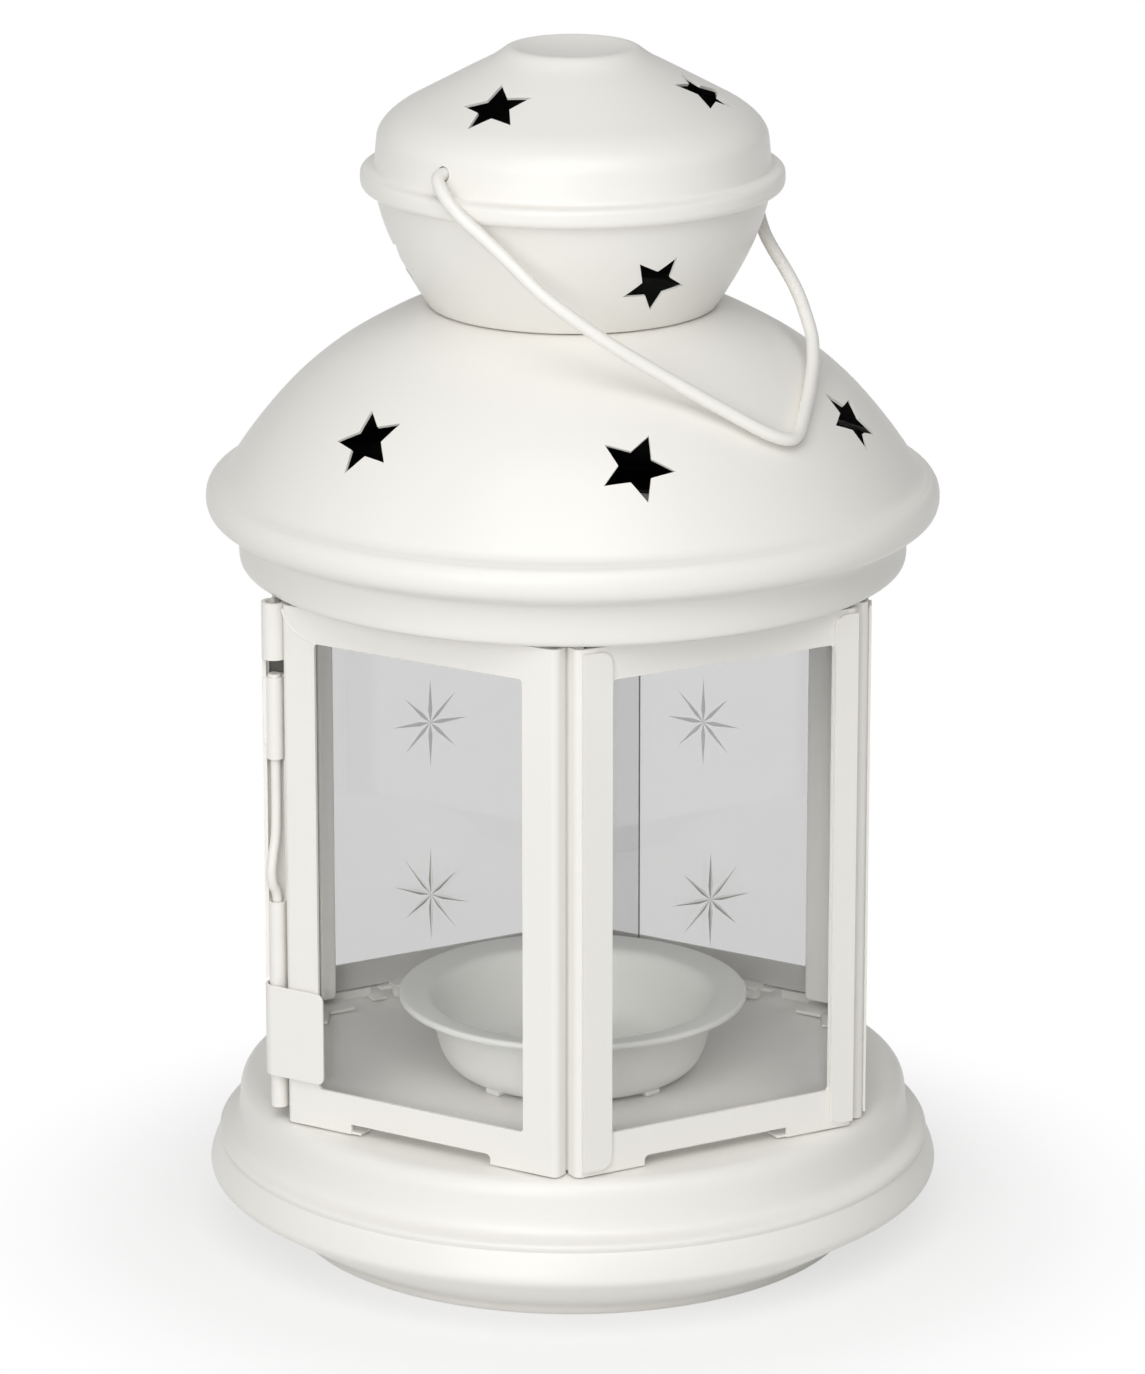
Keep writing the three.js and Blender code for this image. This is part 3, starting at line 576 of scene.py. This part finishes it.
# Body sides
def folded_face(name, left, right, right_flange=True):
    """One side's sheet, facing the front: a face with its edges bent inward."""
    middle = mm((left + right) / 2, -APOTHEM, (BODY_LOW + BODY_HIGH) / 2)
    bpy.ops.mesh.primitive_plane_add(size=1, location=middle, rotation=(math.pi / 2, 0, 0))
    piece = bpy.context.object
    piece.name = name
    piece.scale = ((right - left) * MM, (BODY_HIGH - BODY_LOW) * MM, 1)
    bpy.ops.object.transform_apply(location=True, rotation=True, scale=True)
    ends = [left, right] if right_flange else [left]
    start_edit(piece)
    for end in ends:
        pick(piece, "EDGE", lambda spot: abs(spot.x - end) < 1e-3)
        bpy.ops.mesh.extrude_region_move(TRANSFORM_OT_translate={"value": mm(0, FLANGE, 0)})
    pick(piece, "EDGE", lambda spot: abs(spot.y + APOTHEM) < 1e-3 and min(
        abs(spot.x - end) for end in ends) < 1e-3)
    # Only the upright corner edges are bent round
    bpy.ops.mesh.bevel(offset=BEND * MM, segments=6, affect="EDGES")
    # The face is divided through the window's middle, so that no face has a hole in it
    for normal in ((1, 0, 0), (0, 0, 1)):
        bpy.ops.mesh.select_all(action="SELECT")
        bpy.ops.mesh.bisect(plane_co=mm(0, 0, (WINDOW_LOW + WINDOW_HIGH) / 2), plane_no=normal)
    end_edit()
    use_modifier(piece, "SOLIDIFY", thickness=SHEET * MM, offset=-1, use_even_offset=True)
    return piece


def window_and_sill(piece, soft_end, right_edge=WINDOW_HALF):
    """Cuts the window with its small corner radii, and the notch of the sill with one round end."""
    window = block(
        "window", (-WINDOW_HALF, right_edge), (APOTHEM - 1.5, APOTHEM + 2),
        (WINDOW_LOW, WINDOW_HIGH), 0.7,
    )
    sill = block(
        "sill", (-SILL_HALF, SILL_HALF), (APOTHEM - 1.5, APOTHEM + 2), (BODY_LOW - 1, SILL_TOP),
        0.9, [(soft_end, 1)],
    )
    cut_away(piece, [window, sill])


def sill_fold(piece, tab_side):
    """The sill's edge folded inward, a turned-in tab at one end of the notch and two feet on the floor."""
    fold = block("fold", (0.8 - SILL_HALF, SILL_HALF - 0.8), (APOTHEM - 3.4, APOTHEM - 0.2),
                 (SILL_TOP - 0.05, SILL_TOP + 0.5))
    ends = sorted((tab_side * (SILL_HALF - 1.8), tab_side * (SILL_HALF + 1.0)))
    parts = [fold, block("tab", ends, (APOTHEM - 3.6, APOTHEM - SHEET / 2), (BODY_LOW, BODY_LOW + 0.4))]
    for side in (-1, 1):
        ends = sorted((side * 20.2, side * 25.2))
        parts.append(block("foot", ends, (APOTHEM - 6.4, APOTHEM - SHEET / 2), (BODY_LOW, BODY_LOW + SHEET)))
    weld_on(piece, parts)


def glass_channel(ends):
    """Half-round strip inside one stile that holds the pane's edge, and a clip on the sill."""
    strip = block("channel", ends, (46.3, 47.55), (29.6, 119.0), 0.9)
    round_edges(strip, 0.4, segments=3)
    clip = block("clip", (-11.0, 11.0), (45.6, 47.5), (BODY_LOW + 0.1, BODY_LOW + 3.0))
    round_edges(clip, 0.6, segments=3)
    lip = block("clip lip", (-11.6, 11.6), (44.6, 47.5), (BODY_LOW + 2.3, BODY_LOW + 3.1))
    round_edges(lip, 0.3)
    return [strip, clip, lip]


def corner_strip():
    """Narrow strip that closes the corner slit behind the bent edges."""
    return swing(block("corner_strip", (-1.1, 1.1), (53.6, 54.2), (BODY_LOW + 0.4, BODY_HIGH - 0.4)), -30)


def raised_hem(inner, outer):
    """Doubled sheet over one stile, its inner corners round, standing off by a paint-thin gap."""
    inward = 1 if inner < outer else -1
    low, high = BODY_LOW + 0.9, BODY_HIGH - 0.8
    core = block("hem core", sorted((inner + inward * 0.4, outer - inward * 0.3)),
                 (APOTHEM - 0.2, APOTHEM + 0.3), (low + 0.5, high - 0.5))
    plate = block("hem plate", sorted((inner, outer)), (APOTHEM + 0.13, APOTHEM + 0.55), (low, high),
                  2.2, [(-inward, -1), (-inward, 1)], 8)
    return [core, plate]


def pane(name, left, right):
    """Cut pane with ground edges, standing behind the face."""
    glass = block(
        name, (left, right), (PANE_FRONT - PANE_THICK, PANE_FRONT), (BODY_LOW + 2.3, BODY_HIGH - 0.9),
    )
    round_edges(glass, 0.25)
    return glass


def etched_star(name):
    """Eight cut rays round the origin of a pane, each with one flank in painted light and one in painted
    shade.
    """
    rays = []
    for index in range(8):
        length = 8.3 if index % 4 == 0 else 7.6 if index % 2 == 0 else 7.3
        width = 0.42 if index % 2 == 0 else 0.37
        bpy.ops.mesh.primitive_circle_add(
            vertices=4, radius=length / 2 * MM, fill_type="NGON", location=mm(0, length / 2, 0),
        )
        ray = bpy.context.object
        bpy.ops.object.transform_apply(location=True)
        bpy.ops.object.mode_set(mode="EDIT")
        pick(ray, "VERT", lambda spot: abs(spot.x) > 0.1)
        bpy.ops.transform.resize(value=(width * 2 / length, 1, 1), center_override=(0, 0, 0))
        bpy.ops.transform.translate(value=mm(0, -length * 0.22, 0))
        bpy.ops.mesh.select_all(action="SELECT")
        bpy.ops.mesh.extrude_region_move(TRANSFORM_OT_translate={"value": mm(0, 0, 0.03)})
        bpy.ops.mesh.select_all(action="SELECT")
        bpy.ops.mesh.normals_make_consistent(inside=False)
        pick(ray, "FACE", lambda spot: spot.z > 0.02)
        bpy.ops.mesh.poke(offset=0.09 * MM)
        end_edit()
        ray.rotation_euler = (0, 0, math.radians(-45 * index))
        bpy.ops.object.transform_apply(rotation=True)
        ray.data.materials.append(cut_painted_lit)
        ray.data.materials.append(cut_painted_shaded)
        heading = Vector((math.sin(math.radians(45 * index)), math.cos(math.radians(45 * index)), 0))
        flank = Vector((heading.y, -heading.x, 0))
        # The flank facing down and to the left takes the darker glass as painted shade; the other flank is
        # painted light
        if flank.dot(Vector((-0.3, -1, 0))) < 0:
            flank = -flank
        for face in ray.data.polygons:
            if face.normal.dot(flank) > 0.005:
                face.material_index = 1
        rays.append(ray)
    star = join_pieces(rays)
    star.name = name
    upright = Matrix.Rotation(math.pi / 2, 4, "X")
    star.matrix_world = Matrix.Translation(mm(0, -PANE_FRONT + 0.01, 0)) @ upright
    bpy.ops.object.transform_apply(location=True, rotation=True)
    return star


def place_star(name, bearing, along, height):
    """A copy of the cut star at its place on one side's pane."""
    star = copy_piece(star_master, name)
    take(star)
    star.location = mm(along, 0, height)
    bpy.ops.object.transform_apply(location=True)
    return swing(star, bearing)


# Door: a plain face with a pressed crease at its upper corner
door = folded_face("door_frame_sheet", -FACE_HALF, FACE_HALF)
window_and_sill(door, 1)
sill_fold(door, -1)
round_edges(door, PAINT_EDGE)
crease = bent_wire("crease", [(x, -y, z) for x, y, z in smooth_line([
    (-27.0, 50.1, 119.4), (-26.5, 50.24, 118.2), (-25.6, 50.26, 116.9), (-24.1, 50.26, 115.7),
    (-22.3, 50.26, 114.9), (-20.7, 50.24, 114.4)], 6)], 0.26)
door = join_pieces([door, crease])
swing(door, SIDE_BEARINGS[0])
finish_piece(door, "door", ["door_frame"], white_coat)

# Four fixed sides are one pressing, swung round
side_master = folded_face("side_master", -FACE_HALF, FACE_HALF)
window_and_sill(side_master, -1, WIDE_WINDOW)
sill_fold(side_master, 1)
weld_on(side_master, raised_hem(-WINDOW_HALF - 0.15, -26.1) + raised_hem(WIDE_WINDOW + 0.15, 26.8))
round_edges(side_master, PAINT_EDGE)
side_master = join_pieces([side_master, corner_strip()])
pane_master = pane("pane_master", -PANE_HALF, PANE_HALF)
star_master = etched_star("star_master")
fixed_sides = [
    ("right_front", -0.9, 72.7, None), ("right", 0, 75, None),
    ("back_right", 2.2, 77.8, (-25.7, -20.6)), ("back_left", 1.95, 78.1, (22.7, 25.6)),
]
for number, (place, star_along, star_height, channel) in enumerate(fixed_sides, start=1):
    side = copy_piece(side_master, f"frame_{place}_sheet")
    if channel:
        side = join_pieces([side] + glass_channel(channel))
    swing(side, SIDE_BEARINGS[number])
    finish_piece(side, "lantern", [f"frame_{place}"], white_coat)
    glass = swing(copy_piece(pane_master, f"glass_{place}_pane"), SIDE_BEARINGS[number])
    finish_piece(glass, "lantern", [f"glass_{place}"], window_glass, 1)
    star = place_star(f"etched_star_{place}", SIDE_BEARINGS[number], star_along, star_height)
    if channel:
        star.data.materials[0] = far_painted_lit
        star.data.materials[1] = far_painted_shaded
    finish_piece(star, "lantern", [], None, 1)
door_pane = swing(copy_piece(pane_master, "door_glass_pane"), SIDE_BEARINGS[0])
finish_piece(door_pane, "door", ["door_glass"], window_glass, 1)
door_star = place_star("etched_star_door", SIDE_BEARINGS[0], 1.9, 73.5)
finish_piece(door_star, "door", [], None, 1)
left_pane = swing(pane("glass_left_pane", -PANE_HALF, 21.9), SIDE_BEARINGS[5])
finish_piece(left_pane, "lantern", ["glass_left"], window_glass, 1)
left_star = place_star("etched_star_left", SIDE_BEARINGS[5], 0, 75)
finish_piece(left_star, "lantern", [], None, 1)

# At the back corner the two panes overlap by a narrow strip
overlap = block("glass_overlap_strip", (14.6, 26.0), (46.9, 47.5), (BODY_LOW + 4.0, BODY_HIGH - 2.0))
round_edges(overlap, 0.1)
swing(overlap, SIDE_BEARINGS[3])
finish_piece(overlap, "lantern", [], window_glass, 1)
for spare in (side_master, pane_master, star_master):
    bpy.data.objects.remove(spare)

# Left side: its front edge is rolled into the hinge
HINGE_U, HINGE_W = 27.686, 50.046       # hinge axis on the left side: along and outward
LEFT_END = 25.09
left = folded_face("frame_left_sheet", -FACE_HALF, LEFT_END, right_flange=False)
window_and_sill(left, -1)
sill_fold(left, 1)
ROLL_MIDDLE = 1.3                        # middle of the rolled wall round the pin
GUARD_MIDDLE = 1.75                      # middle of the wider roll at the top
roll_line = arc(HINGE_U, HINGE_W, ROLL_MIDDLE, 200, -145, 40)
web_line = [(LEFT_END - 1.5, APOTHEM - 0.3), (LEFT_END + 0.35, APOTHEM - 0.3)]
guard_line = web_line + arc(HINGE_U, HINGE_W, GUARD_MIDDLE, 172, -80, 28)
strip_line = arc(HINGE_U, HINGE_W, GUARD_MIDDLE, 88, 264, 26)
hinge_parts = [
    *raised_hem(-WINDOW_HALF - 0.15, -26.1),
    curled_sheet("top_roll", guard_line, 110.2, 120.15, 0.7),
    curled_sheet("strip", strip_line, 53.0, 112.0, 0.66),
    block(
        "strip_web", (LEFT_END - 1.0, HINGE_U - GUARD_MIDDLE - 0.1), (APOTHEM - 0.56, APOTHEM - 0.04),
        (53.1, 111.9),
    ),
    curled_sheet("knuckle", roll_line, 92.5, 106.9, 0.4),
    curled_sheet("lower_roll", roll_line, 29.8, 66.9, 0.4),
    block("lower_web", (LEFT_END - 0.4, HINGE_U - 1.2), (APOTHEM - 0.57, APOTHEM - 0.03), (29.9, 34.9)),
]
weld_on(left, hinge_parts)
cut_away(left, [block("low_corner", (22.5, 27.0), (APOTHEM - 4, APOTHEM + 1), (26.0, 29.7))])
cut_away(left, [block("pin_slot", (22.6, 31.0), (46.0, HINGE_W + 0.95), (107.1, 110.0))])
round_edges(left, 0.12)
leaf = block("knuckle_leaf", (-52.55, -51.5), (26.9, 27.3), (94.6, 106.8), 0.8, [(-1, -1)], 1)
round_edges(leaf, 0.1)
left = join_pieces([left, swing(leaf, -SIDE_BEARINGS[5]), corner_strip()])
swing(left, SIDE_BEARINGS[5])
finish_piece(left, "lantern", ["frame_left"], white_coat)

# Grey block in the hollow of the hinge roll behind the slot: painted shade for the dark of the roll's white
# inside, which lies in shade
hollow = block("hinge_hollow_painted_shade", (25.2, 25.9), (47.6, HINGE_W + 1.0), (106.95, 110.15))
round_edges(hollow, 0.1)
swing(hollow, SIDE_BEARINGS[5])
finish_piece(hollow, "lantern", [], roll_painted_shade)

# Hinge pin: a wire with a kink
HINGE_AXIS = Vector((-50.522, -26.808, 0))
kink_way = toward(-45)
pin_run = [(106.9, 0), (99.5, 0), (90.5, 0)]
pin_run += [(72 + up, 1.3 * share) for up, share in (
    (10, 0.03), (6.5, 0.19), (3, 0.69), (0, 1), (-2, 0.75), (-3.3, 0.22), (-4.8, 0))]
pin_run += [(63.9, 0), (56.0, 0)]
pin_line = smooth_line([HINGE_AXIS + kink_way * out + Vector((0, 0, z)) for z, out in pin_run], 8)
pin = bent_wire("hinge_pin_wire", pin_line, PIN_WIRE)
bpy.ops.mesh.primitive_cylinder_add(
    vertices=40, radius=1.08 * MM, depth=0.9 * MM, location=HINGE_AXIS * MM + mm(0, 0, 107.0),
)
pin_head = bpy.context.object
bpy.ops.object.transform_apply(location=True)
pin = join_pieces([pin, pin_head])
round_edges(pin, 0.15, 50)
finish_piece(pin, "lantern", ["hinge_pin"], white_coat)

# Strap of the door, wrapped round the lower roll
DOOR_U, DOOR_W = -29.5, 49.0            # hinge axis on the door's side
STRAP_LOW, STRAP_HIGH = 35.8, 52.1
STRAP_MIDDLE = 1.975
strap_line = [(-19.1, DOOR_W + STRAP_MIDDLE), (-25, DOOR_W + STRAP_MIDDLE)]
strap_line += arc(DOOR_U, DOOR_W, STRAP_MIDDLE, 90, 255, 26)
strap = curled_sheet("hinge_strap_sheet", strap_line, STRAP_LOW, STRAP_HIGH, 0.45)
start_edit(strap)
bpy.ops.mesh.select_mode(type="EDGE")
bpy.ops.mesh.select_all(action="DESELECT")
strap_cage = bmesh.from_edit_mesh(strap.data)
for strap_edge in strap_cage.edges:
    ends = [vertex.co / MM for vertex in strap_edge.verts]
    through = abs(ends[0].y - ends[1].y) > 0.3 and abs(ends[0].z - ends[1].z) < 1e-3
    free = all(end.x > -19.5 for end in ends)
    strap_edge.select = through and free
bmesh.update_edit_mesh(strap.data)
bpy.ops.mesh.bevel(offset=1.3 * MM, segments=6, affect="EDGES")
end_edit()
round_edges(strap, 0.12)
swing(strap, SIDE_BEARINGS[0])
finish_piece(strap, "door", ["hinge_strap"], white_coat)

# Roof pan: flange under the dome, bead, flare, skirt and ceiling ring
roof = turned_shell("roof_pan_pressing", soft_run([
    (59.9, 134.75), (60.5, 134.8), (60.95, 135.5), (61.5, 135.42), (62.2, 134.95), (62.85, 133.95),
    (63.1, 132.8), (63.05, 131.4), (62.6, 130.2), (61.6, 129.35), (60.0, 128.75), (58.4, 128.2),
    (57.65, 127.2), (57.5, 125.6), (57.5, 122.1), (57.25, 121.1), (56.4, 120.6), (54.5, 120.6),
    (44.0, 120.6),
], 0.7), SHELL, [white_coat, roof_inside_painted_shade])
round_edges(roof, 0.2, 60)
finish_piece(roof, "lantern", ["roof_pan"], None)

# Dome with six star openings
dome_run = [Vector(spot[:2]) for spot in smooth_line([
    (23.9, 165.7, 0), (26.0, 165.4, 0), (29.2, 164.0, 0), (33.1, 162.0, 0), (39.9, 158.0, 0),
    (45.1, 154.0, 0), (49.3, 150.0, 0), (52.8, 146.0, 0), (55.9, 142.0, 0), (58.5, 138.2, 0),
    (59.3, 136.95, 0), (60.2, 136.1, 0), (61.0, 135.68, 0), (61.6, 135.25, 0), (62.0, 134.75, 0),
], 4)]
dome = turned_shell("dome_pressing", dome_run, ROOF_SHELL, [white_coat, roof_inside_painted_shade])
# Each star's bearing, its height over the row and its turn
dome_stars = ((12.1, 0.1, -27), (-44.2, 1.0, 28), (70.5, 0, 10), (132, 0, -12), (192, 0, 30), (252, 0, 4))
cut_away(dome, [
    star_punch(dome_run, DOME_STARS_UP + up, DOME_STAR, at, turn) for at, up, turn in dome_stars
])
round_edges(dome, 0.12, 50)
finish_piece(dome, "lantern", ["dome"], None)

# Neck bowl with three star openings
bowl_run = bow((33.6, 185.8), (32.4, 177.4), (24.85, 166.1), 26)
bowl_run += [Vector((24.7, 165.9)), Vector((24.3, 165.88)), Vector((22.6, 166.05))]
bowl = turned_shell("neck_bowl_pressing", bowl_run, ROOF_SHELL, [white_coat, roof_inside_painted_shade])
bowl_stars = ((27.5, -31), (-82, 12), (147.3, 24))
cut_away(bowl, [
    star_punch(bowl_run, BOWL_STARS_UP, BOWL_STAR, at, turn) for at, turn in bowl_stars
])
round_edges(bowl, 0.12, 50)
finish_piece(bowl, "lantern", ["neck_bowl"], None)

# Cap: crown recess and ring, cone, wall and crimped ring
crown_run = soft_run([
    (0, 208.6), (2.5, 208.67), (5.0, 208.9), (7.0, 209.2), (8.6, 209.55), (9.6, 209.84), (10.4, 210.0),
    (11.3, 209.75), (12.4, 208.9), (13.8, 207.9), (18.4, 205.5),
], 1.3)
wall_run = soft_run([
    (33.3, 194.6), (33.75, 190.1), (34.1, 189.65), (35.6, 189.4), (36.1, 188.8), (36.12, 187.0),
    (35.8, 186.3), (35.1, 186.0), (33.4, 185.8), (32.6, 185.8),
], 0.45)
cone_run = bow((28.6, 200.0), (33.0, 197.3), (33.3, 194.6), 14)
cap_run = crown_run + bow((18.4, 205.5), (23.6, 202.7), (28.6, 200.0), 10)[1:] + cone_run[1:] + wall_run[1:]
cap = turned_shell("cap_pressing", cap_run, ROOF_SHELL, [white_coat, roof_inside_painted_shade])
cap_stars = ((-34.8, 21), (75.9, -27), (200, 8))
cap_cutters = [star_punch(cap_run, CAP_STARS_UP, CAP_STAR, at, turn) for at, turn in cap_stars]
# One long drill makes both holes of the bail
bpy.ops.mesh.primitive_cylinder_add(
    vertices=32, radius=BAIL_HOLE * MM, depth=110 * MM, location=mm(0, 0, BAIL_HEIGHT),
    rotation=(math.pi / 2, 0, math.radians(BAIL_BEARING)),
)
cap_cutters.append(bpy.context.object)
cut_away(cap, cap_cutters)
round_edges(cap, 0.12, 50)
finish_piece(cap, "lantern", ["cap"], None)

# Bail: one bent wire, resting on the dome; its route is along the holes' axis and away from it
bail_route = [
    (30.4, 0), (33.4, 0), (34.7, 0.25), (35.6, 1.0), (36.3, 2.3), (36.85, 4.3), (37.05, 7.0), (36.75, 9.7),
    (36.0, 12.3), (35.2, 15.4), (34.4, 19.0), (33.5, 24.2), (32.8, 27.1), (31.8, 29.8), (30.0, 33.7),
    (27.9, 37.6), (25.4, 41.6), (22.6, 45.6), (19.3, 50.1), (15.9, 54.7), (12.9, 58.5), (9.9, 62.3),
    (7.7, 64.6), (5.4, 66.1), (3.4, 66.4), (1.5, 65.7), (-0.6, 64.3), (-3.6, 62.1), (-6.7, 59.8),
    (-10.9, 56.4), (-13.9, 53.8), (-16.6, 51.0), (-18.8, 48.3), (-21.5, 43.5), (-22.8, 40.8),
    (-23.8, 38.1), (-24.6, 35.2), (-25.2, 32.2), (-25.7, 29.9), (-26.4, 27.4), (-27.6, 24.9), (-30.2, 20.6),
    (-32.4, 16.4), (-35.3, 12.7), (-36.9, 9.2), (-37.35, 6.2), (-36.9, 3.6), (-36.0, 1.7),
    (-34.9, 0.5), (-33.4, 0), (-30.4, 0),
]
bail_axis = toward(BAIL_BEARING)
bail_out = toward(BAIL_BEARING + 90)
droop = math.radians(BAIL_DROOP)
bail_line = smooth_line([
    bail_axis * along + bail_out * (away * math.cos(droop))
    + Vector((0, 0, BAIL_HEIGHT - away * math.sin(droop)))
    for along, away in bail_route
], 3)
bail = bent_wire("bail_wire", bail_line, BAIL_WIRE, 8)
round_edges(bail, 0.2, 50)
finish_piece(bail, "bail", ["bail"], white_coat)


# Floor, light and camera
def studio_floor():
    """White paper: takes the soft shadow near the foot and is plain white to the camera further out."""
    material = new_material("studio floor")
    place = add_node(material, "ShaderNodeTexCoord").outputs["Object"]
    far = add_node(
        material, "ShaderNodeVectorMath", {"operation": "LENGTH"}, {"Vector": place},
    )
    fade = add_node(
        material, "ShaderNodeMapRange", {"interpolation_type": "SMOOTHSTEP"},
        {"Value": far.outputs["Value"]}, From_Min=0.058, From_Max=0.115, To_Min=0.62, To_Max=1.0,
    )
    path = add_node(material, "ShaderNodeLightPath")
    seen = add_node(
        material, "ShaderNodeMath", {"operation": "MAXIMUM"},
        {0: path.outputs["Is Camera Ray"], 1: path.outputs["Is Glossy Ray"]},
    )
    seen = add_node(
        material, "ShaderNodeMath", {"operation": "MAXIMUM"},
        {0: seen.outputs["Value"], 1: path.outputs["Is Transmission Ray"]},
    )
    share = add_node(
        material, "ShaderNodeMath", {"operation": "MULTIPLY"},
        {0: seen.outputs["Value"], 1: fade.outputs["Result"]},
    )
    paper = add_node(material, "ShaderNodeBsdfDiffuse", Color=linear("#F4F4F3"))
    white = add_node(material, "ShaderNodeEmission", Color=linear("#FFFFFF"), Strength=1.0)
    mixed = add_node(
        material, "ShaderNodeMixShader",
        links={"Fac": share.outputs["Value"], 1: paper.outputs["BSDF"], 2: white.outputs["Emission"]},
    )
    add_node(material, "ShaderNodeOutputMaterial", links={"Surface": mixed.outputs["Shader"]})
    return material


bpy.ops.mesh.primitive_plane_add(size=8.0, location=(0, 0, 0))
floor = bpy.context.object
floor.name = "studio_floor"
floor.data.materials.append(studio_floor())


def soft_light(name, spot, size, power):
    """Large soft panel aimed at the middle of the lantern."""
    bpy.ops.object.light_add(type="AREA", location=spot)
    panel = bpy.context.object
    panel.name = name
    panel.data.shape = "RECTANGLE"
    panel.data.size = size[0]
    panel.data.size_y = size[1]
    panel.data.energy = power
    panel.rotation_euler = (Vector((0, 0, 0.10)) - Vector(spot)).to_track_quat("-Z", "Y").to_euler()
    return panel


soft_light("front_panel", (-0.5, -1.55, 0.6), (1.1, 0.9), 10.5)
soft_light("upper_panel", (0.0, -1.1, 1.5), (1.4, 1.2), 14.6)

ROOM_LIGHT = 0.25
GLOSS_SHARE = 0.5
world = bpy.data.worlds.new("studio")
bpy.context.scene.world = world
world.use_nodes = True
world.node_tree.nodes.clear()
room = add_node(world, "ShaderNodeBackground", Color=linear("#FFFFFF"), Strength=ROOM_LIGHT)
backdrop = add_node(world, "ShaderNodeBackground", Color=linear("#FFFFFF"), Strength=1.0)
world_path = add_node(world, "ShaderNodeLightPath")
# The satin picks up half of the white surround
world_gloss = add_node(
    world, "ShaderNodeMath", {"operation": "MULTIPLY"}, {0: world_path.outputs["Is Glossy Ray"]},
)
world_gloss.inputs[1].default_value = GLOSS_SHARE
world_seen = add_node(
    world, "ShaderNodeMath", {"operation": "MAXIMUM"},
    {0: world_path.outputs["Is Camera Ray"], 1: world_gloss.outputs["Value"]},
)
world_mix = add_node(
    world, "ShaderNodeMixShader",
    links={
        "Fac": world_seen.outputs["Value"],
        1: room.outputs["Background"],
        2: backdrop.outputs["Background"],
    },
)
add_node(world, "ShaderNodeOutputWorld", links={"Surface": world_mix.outputs["Shader"]})

bpy.ops.object.camera_add(location=(0.0002, -1.0849, 0.4200))
camera = bpy.context.object
camera.rotation_euler = (mm(-0.05, 0, 97.02) - camera.location).to_track_quat("-Z", "Y").to_euler()
camera.data.sensor_fit = "HORIZONTAL"
camera.data.sensor_width = 36
camera.data.lens = 204.9
camera.data.clip_end = 50
bpy.context.scene.camera = camera
bpy.context.scene.view_settings.view_transform = "Standard"
